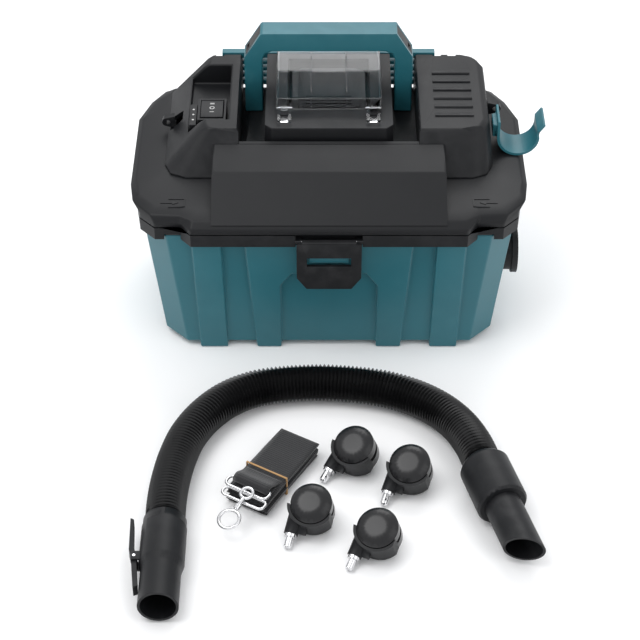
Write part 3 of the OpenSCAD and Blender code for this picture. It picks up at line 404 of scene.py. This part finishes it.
FINISHES: dict[str, Finish] = {
    "teal": Finish("teal moulding", Surface.MOULDED, (0.018, 0.128, 0.160), (0.10, 0.28, 0.32),
                   (0.36, 0.42), 1500.0, 0.08, 0.16, 0.008, 0.05, 0.4),
    "black_plastic": Finish("black moulding", Surface.MOULDED, (0.0074, 0.0079, 0.0092),
                            (0.045, 0.045, 0.047), (0.42, 0.50), 1300.0, 0.16, 0.3, 0.008, 0.0, 0.26),
    "hose_rubber": Finish("hose wall", Surface.RUBBER, (0.0045, 0.0046, 0.005), (0.03, 0.03, 0.03),
                          (0.20, 0.28), 1600.0, 0.04, 0.2, 0.0, 0.0, 0.5),
    "seal_rubber": Finish("seal rubber", Surface.RUBBER, (0.02, 0.02, 0.02), (0.05, 0.05, 0.05),
                          (0.6, 0.75), 1200.0, 0.2, 0.0, 0.02),
    "band_rubber": Finish("elastic band", Surface.RUBBER, (0.42, 0.24, 0.095), (0.5, 0.35, 0.2),
                          (0.5, 0.65), 1800.0, 0.2, 0.1, 0.0),
    "clear_plastic": Finish("clear plastic", Surface.CLEAR, (0.96, 0.97, 0.98), (1.0, 1.0, 1.0),
                            (0.02, 0.06), 300.0, 0.02, 0.0, 0.0),
    "bright_steel": Finish("bright steel", Surface.METAL, (0.72, 0.72, 0.73), (0.9, 0.9, 0.9),
                           (0.14, 0.26), 2500.0, 0.04, 0.2, 0.0),
    "steel": Finish("machined steel", Surface.METAL, (0.45, 0.45, 0.46), (0.7, 0.7, 0.7),
                    (0.3, 0.45), 2500.0, 0.1, 0.3, 0.02),
    "webbing": Finish("black webbing", Surface.WOVEN, (0.013, 0.013, 0.015), (0.04, 0.04, 0.04),
                      (0.75, 0.9), 900.0, 0.9, 0.0, 0.0),
    "filter_media": Finish("filter paper", Surface.MEDIA, (0.72, 0.70, 0.62), (0.8, 0.8, 0.75),
                           (0.8, 0.95), 2600.0, 0.5, 0.0, 0.1),
    "foam": Finish("exhaust foam", Surface.MEDIA, (0.02, 0.02, 0.022), (0.05, 0.05, 0.05),
                   (0.9, 1.0), 700.0, 1.0, 0.0, 0.0),
    "board": Finish("circuit board", Surface.MOULDED, (0.01, 0.09, 0.035), (0.2, 0.3, 0.2),
                    (0.3, 0.4), 2000.0, 0.05, 0.1, 0.0, 0.3),
    "float": Finish("float ball", Surface.MOULDED, (0.75, 0.75, 0.72), (0.9, 0.9, 0.9),
                    (0.3, 0.4), 1200.0, 0.05, 0.0, 0.0, 0.2),
    "wheel_tread": Finish("wheel moulding", Surface.MOULDED, (0.008, 0.008, 0.009), (0.05, 0.05, 0.05),
                          (0.26, 0.34), 1400.0, 0.05, 0.2, 0.01, 0.1, 0.35),
    "brass_contact": Finish("brass contacts", Surface.METAL, (0.66, 0.45, 0.16), (0.8, 0.6, 0.3),
                            (0.25, 0.4), 2200.0, 0.05, 0.1, 0.0),
    "mark_white": Finish("printed white mark", Surface.MOULDED, (0.55, 0.55, 0.54), (0.6, 0.6, 0.6),
                         (0.4, 0.5), 1500.0, 0.05, 0.0, 0.0),
}
FINISHES["black_unworn"] = replace(FINISHES["black_plastic"], name="black moulding, unworn", wear=0.0)


# ------------------------------------------------------------------ workshop


class Workshop:
    """Places, dresses and reports the finished pieces."""

    def __init__(self, effects: Effects) -> None:
        """Reads which body and slot each node has, and builds the materials.

        Args:
            effects: the shared shader groups.
        """
        record = frame["record"]
        self.body_of = {n: b for b, nodes in record["behaviour"]["bodies"].items() for n in nodes}
        self.slot_of = {s["node"]: s["material_slot"] for s in record["subparts"]}
        self.materials = {key: finish.material(effects) for key, finish in FINISHES.items()}

    def finish(self, made: bpy.types.Object, body: str, slot: str, look: str = "",
               nodes: tuple[str, ...] = (), smooth: float = 38.0) -> bpy.types.Object:
        """Gives a piece its finish and body.

        Args:
            made: the piece, at the origin.
            body: the body it rides on.
            slot: the record's slot.
            look: key of the finish, the slot's own where it is empty.
            nodes: CAD nodes that it stands for.
            smooth: angle in degrees past which an edge is sharp.

        Returns:
            The piece.
        """
        mesh = made.data
        mesh.materials.clear()
        mesh.materials.append(self.materials[look or slot])
        mesh.shade_smooth()
        mesh.set_sharp_from_angle(angle=math.radians(smooth))
        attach(made, body)
        if nodes:
            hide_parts(*nodes)
        log.info("%s: %d faces on %s", made.name, len(mesh.polygons), body)
        return made

    def dressed(self, node: str, edge: float = 0.7, segments: int = 2, look: str = "",
                sharp: float = 28.0) -> bpy.types.Object:
        """Makes a softened copy of a CAD node, with rounded edges.

        Args:
            node: the CAD node.
            edge: width of the rounding in millimetres.
            segments: faces across each rounding.
            look: key of the finish, the slot's own where it is empty.
            sharp: smallest angle in degrees that is rounded.

        Returns:
            The new piece, which stands for the node.
        """
        shape = bmesh.new()
        shape.from_mesh(frame["nodes"][node].data)
        bmesh.ops.remove_doubles(shape, verts=shape.verts, dist=0.00002)
        bmesh.ops.dissolve_limit(shape, angle_limit=math.radians(1.0), verts=shape.verts, edges=shape.edges)
        bmesh.ops.recalc_face_normals(shape, faces=shape.faces)
        limit = math.radians(sharp)
        rims = [e for e in shape.edges if e.is_manifold and e.calc_face_angle(0.0) > limit]
        wide = [e for e in rims if roomy(e, edge * MM)]
        if wide:
            bmesh.ops.bevel(shape, geom=wide, offset=edge * MM, offset_type="OFFSET", affect="EDGES",
                            segments=segments, profile=0.5, material=-1, clamp_overlap=False)
        made = piece_from(shape, f"{node}_piece")
        weighted = made.modifiers.new("even shading", "WEIGHTED_NORMAL")
        weighted.keep_sharp = True
        return self.finish(made, self.body_of[node], self.slot_of[node], look, (node,))


def roomy(edge: bmesh.types.BMEdge, width: float) -> bool:
    """Tells whether a rounding fits an edge, from the edges that meet its ends.

    Args:
        edge: the edge.
        width: width of the rounding in metres.

    Returns:
        Whether every edge at its ends is long enough.
    """
    room = ROOM_PER_WIDTH * width
    return width > 0.0 and all(near.calc_length() > room for end in edge.verts for near in end.link_edges)


def piece_from(shape: bmesh.types.BMesh, name: str) -> bpy.types.Object:
    """Turns a bmesh into an object at the origin and frees it.

    Args:
        shape: the bmesh.
        name: the object's name.

    Returns:
        The object.
    """
    mesh = bpy.data.meshes.new(name)
    shape.to_mesh(mesh)
    shape.free()
    made = bpy.data.objects.new(name, mesh)
    bpy.context.scene.collection.objects.link(made)
    return made


def surface_of(node: str) -> BVHTree:
    """Returns a CAD node's surface, for finding the height on it."""
    mesh = frame["nodes"][node].data
    return BVHTree.FromPolygons([v.co for v in mesh.vertices], [tuple(p.vertices) for p in mesh.polygons])


def smooth_route(points: list[tuple[float, float, float]], step: float) -> list[Vector]:
    """Runs one smooth curve through the points and walks it evenly.

    Args:
        points: points in millimetres.
        step: distance between the results, in metres.

    Returns:
        Points in metres.
    """
    raw = [Vector(p) * MM for p in points]
    raw = [raw[0] * 2 - raw[1]] + raw + [raw[-1] * 2 - raw[-2]]
    dense: list[Vector] = []
    for a, b, c, d in zip(raw, raw[1:], raw[2:], raw[3:]):
        for k in range(40):
            t = k / 40
            dense.append(0.5 * (2 * b + (c - a) * t + (2 * a - 5 * b + 4 * c - d) * t * t
                                + (3 * b - a - 3 * c + d) * t ** 3))
    dense.append(raw[-2])
    walked, left = [dense[0]], step
    for a, b in zip(dense, dense[1:]):
        length = (b - a).length
        while length >= left > 0.0:
            a = a.lerp(b, left / length)
            walked.append(a)
            length, left = (b - a).length, step
        left -= length
    walked.append(dense[-1])
    return walked


def extrude_ring(shape: bmesh.types.BMesh, edges: list, moved: Matrix) -> list:
    """Extrudes a ring of edges and moves the new ring.

    Args:
        shape: the bmesh that holds the ring.
        edges: the ring's edges.
        moved: the matrix that moves the new ring.

    Returns:
        The new ring's edges.
    """
    grown = bmesh.ops.extrude_edge_only(shape, edges=edges)["geom"]
    bmesh.ops.transform(shape, matrix=moved, verts=[v for v in grown if isinstance(v, bmesh.types.BMVert)])
    return [e for e in grown if isinstance(e, bmesh.types.BMEdge)]


def tube(shape: bmesh.types.BMesh, path: list[Vector], radius: float, sides: int, closed: bool) -> None:
    """Sweeps a round wire along a path.

    Args:
        shape: the bmesh it is added to.
        path: points in metres.
        radius: the wire's radius in metres.
        sides: faces round the wire.
        closed: whether the path joins up with itself.
    """
    ring = bmesh.ops.create_circle(shape, segments=sides, radius=1.0)["verts"]
    edges = list({e for v in ring for e in v.link_edges})
    first, now, count = edges, Matrix.Identity(4), len(path)
    for k, here in enumerate(path):
        after = path[(k + 1) % count] if closed else path[min(k + 1, count - 1)]
        before = path[k - 1] if closed or k else path[0]
        ahead = (after - before).normalized()
        guide = Vector((0, 0, 1)) if abs(ahead.z) < 0.8 else Vector((0, 1, 0))
        side = guide.cross(ahead).normalized()
        over = ahead.cross(side)
        place = Matrix((side * radius, over * radius, ahead * radius)).transposed().to_4x4()
        place.translation = here
        if k:
            edges = extrude_ring(shape, edges, place @ now.inverted())
        else:
            bmesh.ops.transform(shape, matrix=place, verts=ring)
        now = place
    if closed:
        bmesh.ops.bridge_loops(shape, edges=first + edges)
    else:
        bmesh.ops.holes_fill(shape, edges=first + edges, sides=0)


def rounded_loop(middle: Vector, long: float, wide: float, corner: float) -> list[Vector]:
    """Returns a level rectangle with round corners, as points round its line.

    Args:
        middle: its centre.
        long: its size along X.
        wide: its size along Y.
        corner: radius of its corners.

    Returns:
        The points, in order.
    """
    points = []
    for k, (sx, sy) in enumerate(((1, 1), (-1, 1), (-1, -1), (1, -1))):
        for step in range(7):
            turn = math.radians(90.0 * k + 15.0 * step)
            points.append(middle + Vector((sx * (long / 2 - corner) + corner * math.cos(turn),
                                           sy * (wide / 2 - corner) + corner * math.sin(turn), 0.0)))
    return points


# ------------------------------------------------------------------ camera, light and floor


@dataclass
class Studio:
    """Camera, soft lights and a plain pale floor.

    Attributes:
        eye: the camera's place, in metres.
        tilt: the camera's angle below level, in degrees.
        lens: focal length in millimetres on a 36 mm sensor.
    """

    eye: tuple[float, float, float] = (-0.0092, -1.6438, 1.3251)
    tilt: float = 40.0
    lens: float = 106.875

    def camera(self) -> None:
        """Makes the camera and sets it as the scene's."""
        data = bpy.data.cameras.new("camera")
        data.lens, data.sensor_width = self.lens, 36.0
        data.clip_start, data.clip_end = 0.05, 50.0
        made = bpy.data.objects.new("camera", data)
        made.location = self.eye
        made.rotation_euler = (math.radians(90.0 - self.tilt), 0.0, 0.0)
        bpy.context.scene.collection.objects.link(made)
        bpy.context.scene.camera = made

    def lamp(self, name: str, place: tuple[float, float, float], power: float, size: float) -> None:
        """Adds one soft area light aimed at the object.

        Args:
            name: the lamp's name.
            place: where it hangs.
            power: its power in watts.
            size: its side in metres.
        """
        data = bpy.data.lights.new(name, "AREA")
        data.energy, data.size = power, size
        made = bpy.data.objects.new(name, data)
        made.location = place
        aim = Vector((0.0, -0.12, 0.1)) - Vector(place)
        made.rotation_euler = aim.to_track_quat("-Z", "Y").to_euler()
        bpy.context.scene.collection.objects.link(made)

    def light(self) -> None:
        """Sets the pale world and the lamps."""
        world = bpy.data.worlds.new("studio")
        world.use_nodes = True
        world.node_tree.nodes["Background"].inputs[0].default_value = (0.97, 0.98, 1.0, 1.0)
        world.node_tree.nodes["Background"].inputs[1].default_value = 0.85
        bpy.context.scene.world = world
        bpy.context.scene.view_settings.view_transform = "Standard"
        self.lamp("key", (-0.8, -0.5, 1.9), 15.0, 1.1)
        self.lamp("fill", (1.3, -1.1, 1.3), 5.0, 1.4)
        self.lamp("back", (0.2, 1.2, 1.6), 14.0, 1.2)

    def floor(self) -> None:
        """Lays the pale floor as part of the stage."""
        shape = bmesh.new()
        bmesh.ops.create_grid(shape, x_segments=1, y_segments=1, size=6.0)
        made = piece_from(shape, "floor")
        paint = bpy.data.materials.new("floor paint")
        paint.use_nodes = True
        shader = paint.node_tree.nodes["Principled BSDF"]
        shader.inputs["Base Color"].default_value = (0.97, 0.97, 0.97, 1.0)
        shader.inputs["Roughness"].default_value = 0.85
        made.data.materials.append(paint)
        made.location = (0.0, 0.0, -0.0004)


# ------------------------------------------------------------------ hose


@dataclass
class Hose:
    """The corrugated hose with its cuffs and nozzle.

    Attributes:
        route: centreline points in millimetres, from the inlet cuff to the nozzle cuff.
        crest: radius on a ridge, in millimetres.
        valley: radius between ridges, in millimetres.
        pitch: distance between ridges, in millimetres.
        sides: faces round the hose.
    """

    route: tuple[tuple[float, float, float], ...] = (
        (-156, -388, 21.5), (-156, -360, 21.5), (-154, -330, 20.6), (-149, -297, 19.6),
        (-140, -266, 19.6), (-124, -237, 19.6), (-102, -213, 19.6), (-74, -197, 19.6),
        (-42, -190, 19.6), (-8, -188, 19.6), (26, -191, 19.6), (58, -198, 19.6),
        (87, -211, 19.6), (112, -231, 20.6), (130, -256, 22.6),
        (142, -285, 25), (150, -314, 25),
    )
    crest: float = 19.2
    valley: float = 16.3
    pitch: float = 4.0
    sides: int = 36

    def build(self, shop: Workshop) -> None:
        """Args:
            shop: the workshop.
        """
        walk = smooth_route(list(self.route), self.pitch * MM / 4)
        shape = bmesh.new()
        ring = bmesh.ops.create_circle(shape, segments=self.sides, radius=1.0)["verts"]
        edges = list(shape.edges)
        waves = (self.crest, (self.crest + self.valley) / 2, self.valley, (self.crest + self.valley) / 2)
        now = Matrix.Identity(4)
        for k, here in enumerate(walk):
            ahead = (walk[min(k + 1, len(walk) - 1)] - walk[max(k - 1, 0)]).normalized()
            side = Vector((0, 0, 1)).cross(ahead).normalized()
            over = ahead.cross(side)
            r = waves[k % 4] * MM
            place = Matrix((side * r, over * r, ahead * r)).transposed().to_4x4()
            place.translation = here
            step = place @ now.inverted()
            if k == 0:
                bmesh.ops.transform(shape, matrix=step, verts=ring)
            else:
                edges = extrude_ring(shape, edges, step)
            now = place
        bmesh.ops.holes_fill(shape, edges=[e for e in shape.edges if e.is_boundary], sides=0)
        bmesh.ops.recalc_face_normals(shape, faces=shape.faces)
        hose = piece_from(shape, "corrugated_hose")
        shop.finish(hose, "hose_body", "hose_rubber", nodes=("hose_tube",), smooth=80.0)
        mouldings = ("hose_cuff", "nozzle_cuff", "nozzle_tube", "cuff_latch")
        fittings = [shop.dressed(node, 0.8, 3) for node in mouldings]
        fittings.append(shop.dressed("cuff_latch_pin", 0.2))


# ------------------------------------------------------------------ shoulder strap


@dataclass
class Strap:
    """The folded shoulder strap, its band, loops and snap hook.

    Attributes:
        middle: the bundle's place in millimetres.
        turn: the bundle's heading in degrees.
        wide: width of the webbing in millimetres.
        thick: thickness of the webbing in millimetres.
        layers: how many times it is folded over.
        pitch: height of one layer in millimetres.
    """

    middle: tuple[float, float, float] = (-57.0, -311.0, 0.0)
    turn: float = 59.0
    wide: float = 44.0
    thick: float = 1.1
    layers: int = 12
    pitch: float = 1.55

    def profile(self) -> list[tuple[float, float]]:
        """Returns the folded centreline along the bundle, as (along, up) in millimetres."""
        line: list[tuple[float, float]] = []
        for layer in range(self.layers):
            low = 0.75 + layer * self.pitch
            near = -43.0 + 2.6 * math.sin(2.1 * layer) + 0.8 * max(0, layer - 7)
            far = 50.0 + 2.0 * math.sin(1.3 * layer + 1.0)
            run = [near + (far - near) * k / 24 for k in range(25)]
            if layer % 2:
                run.reverse()
            for x in run:
                pinch = 0.35 * math.exp(-((x + 8.0) / 14.0) ** 2) * layer / self.layers
                sag = max(0.0, (-20.0 - x) / 24.0) * 0.16 * layer
                line.append((x, low - pinch - sag + 0.12 * math.sin(x * 0.22 + layer)))
            if layer + 1 < self.layers:
                x, z = line[-1]
                out = 1.0 if layer % 2 == 0 else -1.0
                line.append((x + out * 0.65, z + 0.35))
                line.append((x + out * 0.8, z + self.pitch / 2))
                line.append((x + out * 0.65, z + self.pitch - 0.35))
        return line

    def build(self, shop: Workshop) -> None:
        """Builds the webbing and dresses the pieces on it.

        Args:
            shop: the workshop.
        """
        heading = Matrix.Rotation(math.radians(self.turn), 4, "Z")
        place = Matrix.Translation(Vector(self.middle) * MM) @ heading
        line = self.profile()
        shape = bmesh.new()
        uv = shape.loops.layers.uv.new("UVMap")
        sway = [1.5 * math.sin(0.031 * k) + 0.9 * math.sin(0.093 * k + 1.0) for k in range(len(line))]
        first = [shape.verts.new((x * MM, (y - self.wide / 2) * MM, z * MM)) for (x, z), y in zip(line, sway)]
        edges = [shape.edges.new(pair) for pair in zip(first, first[1:])]
        steps = 10
        for _ in range(steps):
            edges = extrude_ring(shape, edges, Matrix.Translation((0, self.wide * MM / steps, 0)))
        shape.verts.index_update()
        run, length = [0.0], 0.0
        for (x0, z0), (x1, z1) in zip(line, line[1:]):
            length += math.hypot(x1 - x0, z1 - z0) * MM
            run.append(length)
        column = {v: i for i, v in enumerate(first)}
        for face in shape.faces:
            for loop in face.loops:
                v = loop.vert
                if v not in column:
                    column[v] = min(range(len(line)), key=lambda i: math.hypot(line[i][0] * MM - v.co.x,
                                                                               line[i][1] * MM - v.co.z))
                loop[uv].uv = (v.co.y, run[column[v]])
        bmesh.ops.transform(shape, matrix=place, verts=shape.verts)
        webbing = piece_from(shape, "folded_webbing")
        shell = webbing.modifiers.new("thickness", "SOLIDIFY")
        shell.thickness, shell.offset = self.thick * MM, 0.0
        shop.finish(webbing, "strap_body", "webbing", nodes=("strap_webbing",), smooth=70.0)
        loops = self.wire_loops(shop, place)
        roll = self.roll(shop, place)
        band = shop.dressed("strap_band", 0.3)
        shop.dressed("snap_hook", 0.25)

    def wire_loops(self, shop: Workshop, place: Matrix) -> bpy.types.Object:
        """Bends the two wire loops at the strap's end.

        Args:
            shop: the workshop.
            place: the bundle's place.

        Returns:
            The piece with both loops.
        """
        shape = bmesh.new()
        for middle, long in (((-0.039, 0.002, 0.023), 0.0125), ((-0.051, -0.001, 0.021), 0.0115)):
            tube(shape, rounded_loop(Vector(middle), long, 0.0465, 0.0050), 0.0014, 12, True)
        bmesh.ops.transform(shape, matrix=place, verts=shape.verts)
        bmesh.ops.recalc_face_normals(shape, faces=shape.faces)
        made = piece_from(shape, "wire_loops")
        return shop.finish(made, "strap_body", "bright_steel", nodes=("strap_loops",), smooth=60.0)

    def roll(self, shop: Workshop, place: Matrix) -> bpy.types.Object:
        """Rolls the strap's sewn end round the bar of the first loop.

        Args:
            shop: the workshop.
            place: the bundle's place.

        Returns:
            The rolled end.
        """
        line = [(-12, 18.6), (-18, 20.6), (-24, 23.6), (-28, 26.0), (-31.5, 27.0), (-35, 26.2), (-37, 23.6),
                (-36, 20.6), (-33, 19.4), (-28, 19.2), (-22, 19.0)]
        shape = bmesh.new()
        uv = shape.loops.layers.uv.new("UVMap")
        walk = smooth_route([(x, -19.5, z) for x, z in line], 0.0012)
        first = [shape.verts.new(p) for p in walk]
        edges = [shape.edges.new(pair) for pair in zip(first, first[1:])]
        for _ in range(8):
            edges = extrude_ring(shape, edges, Matrix.Translation((0, 0.0050, 0)))
        for face in shape.faces:
            for loop in face.loops:
                loop[uv].uv = (loop.vert.co.y, loop.vert.co.x)
        bmesh.ops.transform(shape, matrix=place, verts=shape.verts)
        made = piece_from(shape, "rolled_end")
        shell = made.modifiers.new("thickness", "SOLIDIFY")
        shell.thickness, shell.offset = self.thick * MM, 0.0
        return shop.finish(made, "strap_body", "webbing", smooth=70.0)


# ------------------------------------------------------------------ tank and head


@dataclass
class Tank:
    """The tank with its inlet.

    Attributes:
        edge: rounding of the tank's edges in millimetres.
    """

    edge: float = 1.6

    def build(self, shop: Workshop) -> None:
        """Dresses the tank, the inlet port and its seal.

        Args:
            shop: the workshop.
        """
        shop.dressed("tank", self.edge, 3, sharp=24.0)
        shop.dressed("inlet_port", 0.8, 2)
        shop.dressed("inlet_seal", 0.3, 1)


@dataclass
class Head:
    """The closed head: covers, pods, handle, hook and latches.

    Attributes:
        soft: rounding of the large mouldings in millimetres.
        small: rounding of the small pieces in millimetres.
        close: rounding in millimetres where a latch swings close by.
    """

    soft: float = 1.6
    small: float = 0.6
    close: float = 0.25

    def build(self, shop: Workshop) -> None:
        """Dresses every outer piece of the head and adds the raised marks.

        Args:
            shop: the workshop.
        """
        shop.dressed("head_base", self.close, 2)
        shop.dressed("head_gasket", 0.3, 1)
        shop.dressed("head_cover", self.soft, 3, sharp=22.0)
        shop.dressed("top_housing", 2.2, 3)
        shop.dressed("battery_box", 1.0, 3)
        shop.dressed("front_cover", 2.4, 3, "black_unworn", 18.0)
        shop.dressed("rear_cover", 0.8, 2)
        shop.dressed("handle", 2.2, 4)
        shop.dressed("hose_hook", 1.0, 3)
        for node in ("handle_caps", "switch_bezel", "power_rocker", "indicator_strip", "strap_eyes"):
            shop.dressed(node, self.small, 2)
        for node in ("front_latch", "rear_latch"):
            shop.dressed(node, self.close, 2)
        for node in ("handle_screws", "latch_pins", "housing_screws"):
            shop.dressed(node, 0.2, 1)
        self.arrows(shop)
        self.switch_marks(shop)

    def arrows(self, shop: Workshop) -> None:
        """Raises a generic arrow and frame on both front shoulders.

        Args:
            shop: the workshop.
        """
        cast = surface_of("head_cover")
        outline = ((-13, -0.7), (-1, -0.7), (-1, -2.6), (5, 0), (-1, 2.6), (-1, 0.7), (-13, 0.7))
        bar = ((-5, -6.2), (12, -6.2), (12, -5.2), (-5, -5.2))
        above = 0.3
        for side, label in ((-1.0, "left"), (1.0, "right")):
            shape = bmesh.new()
            frame_top = tuple((x, 11.4 + y) for x, y in bar)
            frame_end = ((11, -6.2), (12, -6.2), (12, 6.2), (11, 6.2))
            for points in (outline, bar, frame_top, frame_end):
                corners = [shape.verts.new((side * (158 - x) * MM, (-92 + y) * MM, above)) for x, y in points]
                face = shape.faces.new(corners)
                if face.normal.z < 0:
                    face.normal_flip()
            bmesh.ops.subdivide_edges(shape, edges=list(shape.edges), cuts=2)
            for v in shape.verts:
                hit = cast.ray_cast(Vector((v.co.x, v.co.y, above)), Vector((0, 0, -1)))[0]
                v.co.z = (hit.z if hit else 0.17) - 0.0004
            grown = bmesh.ops.extrude_face_region(shape, geom=list(shape.faces))["geom"]
            bmesh.ops.translate(shape, vec=(0, 0, 0.0010),
                                verts=[v for v in grown if isinstance(v, bmesh.types.BMVert)])
            bmesh.ops.recalc_face_normals(shape, faces=shape.faces)
            shop.finish(piece_from(shape, f"{label}_shoulder_arrow"), "head", "black_plastic")

    def switch_marks(self, shop: Workshop) -> None:
        """Adds the bars and the off ring to the rocker, and three lights beside it.

        Args:
            shop: the workshop.
        """
        low, high = (Vector(c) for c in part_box("power_rocker"))
        cast = surface_of("power_rocker")
        x, front = (low.x + high.x) / 2, (low.y + high.y) / 2
        shape = bmesh.new()
        ring = bmesh.ops.create_circle(shape, segments=24, radius=0.0026)["verts"]
        bmesh.ops.translate(shape, vec=(x, front, 0.25), verts=ring)
        shrink = Matrix.Diagonal((0.7, 0.7, 1, 1))
        extrude_ring(shape, list(shape.edges), Matrix.Translation((x, front, 0)) @ shrink
                     @ Matrix.Translation((-x, -front, 0)))
        for y, wide in ((high.y - 0.007, 0.0045), (high.y - 0.0085, 0.0045), (low.y + 0.008, 0.0045)):
            bar = Matrix.Translation((x, y, 0.25)) @ Matrix.Diagonal((wide, 0.0008, 1, 1))
            bmesh.ops.create_grid(shape, x_segments=1, y_segments=1, size=0.5, matrix=bar)
        for v in shape.verts:
            hit = cast.ray_cast(Vector((v.co.x, v.co.y, 0.25)), Vector((0, 0, -1)))[0]
            v.co.z = (hit.z if hit else high.z) + 0.00006
        bmesh.ops.solidify(shape, geom=list(shape.faces), thickness=0.0001)
        bmesh.ops.recalc_face_normals(shape, faces=shape.faces)
        shop.finish(piece_from(shape, "rocker_marks"), "rocker_body", "black_plastic", "mark_white")
        low, high = (Vector(c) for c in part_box("indicator_strip"))
        shape = bmesh.new()
        for k in range(3):
            spot = Vector(((low.x + high.x) / 2, low.y + (high.y - low.y) * (0.25 + 0.25 * k), high.z))
            bmesh.ops.create_cone(shape, cap_ends=True, segments=16, radius1=0.0013, radius2=0.0011,
                                  depth=0.0005, matrix=Matrix.Translation(spot))
        shop.finish(piece_from(shape, "level_lights"), "head", "black_plastic", "mark_white")


@dataclass
class Battery:
    """The battery bay: clear cover, clips, pack and terminals.

    Attributes:
        edge: rounding of the clear cover in millimetres.
    """

    edge: float = 0.8

    def build(self, shop: Workshop) -> None:
        """Dresses the pieces of the battery bay.

        Args:
            shop: the workshop.
        """
        shop.dressed("battery_cover", self.edge, 2)
        self.ribs(shop)
        shop.dressed("cover_clips", 0.4, 2)
        shop.dressed("cover_clip_pins", 0.0)
        shop.dressed("battery_pack", 1.2, 3)
        shop.dressed("battery_terminals", 0.2, 1)

    def ribs(self, shop: Workshop) -> None:
        """Adds the two long clear ribs that divide the cover's top and run down its front.

        Args:
            shop: the workshop.
        """
        low, high = (Vector(c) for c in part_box("battery_cover"))
        shape = bmesh.new()
        for x in (-0.0185, 0.0185):
            top = (0.0016, high.y - low.y - 0.020, 0.0010), (x, (low.y + high.y) / 2 + 0.005, high.z)
            front = (0.0016, 0.0012, 0.0110), (x, low.y + 0.0052, high.z - 0.0060)
            for size, place in (top, front):
                block = Matrix.Translation(place) @ Matrix.Diagonal(size + (1.0,))
                bmesh.ops.create_cube(shape, size=1.0, matrix=block)
        bmesh.ops.bevel(shape, geom=list(shape.edges), offset=0.0003, offset_type="OFFSET", affect="EDGES",
                        segments=2, profile=0.5, material=-1, clamp_overlap=True)
        shop.finish(piece_from(shape, "cover_ribs"), "cover_body", "clear_plastic")


@dataclass
class Inside:
    """What the closed head and the tank hold.

    Attributes:
        pleats: how many folds the filter has.
        outer: radius of the pleats' tips in millimetres.
        inner: radius of the pleats' roots in millimetres.
    """

    pleats: int = 56
    outer: float = 54.6
    inner: float = 46.0

    def filter(self, shop: Workshop) -> None:
        """Folds the filter media round the cage.

        Args:
            shop: the workshop.
        """
        low, high = (Vector(c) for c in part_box("filter_element"))
        shape = bmesh.new()
        ring = bmesh.ops.create_circle(shape, segments=self.pleats * 2, radius=self.outer * MM)["verts"]
        for k, v in enumerate(ring):
            if k % 2:
                v.co *= self.inner / self.outer
        middle = Vector(((low.x + high.x) / 2, (low.y + high.y) / 2, low.z))
        bmesh.ops.translate(shape, vec=middle, verts=ring)
        extrude_ring(shape, list(shape.edges), Matrix.Translation((0, 0, high.z - low.z)))
        bmesh.ops.recalc_face_normals(shape, faces=shape.faces)
        made = piece_from(shape, "pleated_filter")
        shell = made.modifiers.new("thickness", "SOLIDIFY")
        shell.thickness, shell.offset = 0.0006, 0.0
        shop.finish(made, "head", "filter_media", nodes=("filter_element",), smooth=20.0)

    def build(self, shop: Workshop) -> None:
        """Dresses the hidden pieces.

        Args:
            shop: the workshop.
        """
        self.filter(shop)
        for node in ("filter_cap", "filter_cage", "fan_housing", "motor_housing", "exhaust_foam"):
            shop.dressed(node, 0.5, 1)
        for node in ("float_ball", "motor_rotor", "motor_bearings", "impeller", "control_board"):
            shop.dressed(node, 0.2, 1)


@dataclass
class Casters:
    """The four loose twin-wheel casters.

    Attributes:
        count: how many there are.
    """

    count: int = 4

    def build(self, shop: Workshop) -> None:
        """Dresses each caster's hood, wheels and stem.

        Args:
            shop: the workshop.
        """
        for k in range(1, self.count + 1):
            shop.dressed(f"caster_{k}_hood", 0.8, 3)
            shop.dressed(f"caster_{k}_wheels", 1.4, 3)
            shop.dressed(f"caster_{k}_stem", 0.3, 2)


def main() -> None:
    """Builds the studio and every sub-assembly in order."""
    logging.basicConfig(level=logging.INFO, format="%(name)s: %(message)s")
    studio = Studio()
    studio.camera()
    shop = Workshop(Effects())
    for part in (Hose(), Strap(), Tank(), Head(), Battery(), Inside(), Casters()):
        part.build(shop)
        log.info("%s is built", type(part).__name__)
    studio.light()
    studio.floor()
    bpy.context.view_layer.update()


if __name__ == "__main__":
    main()
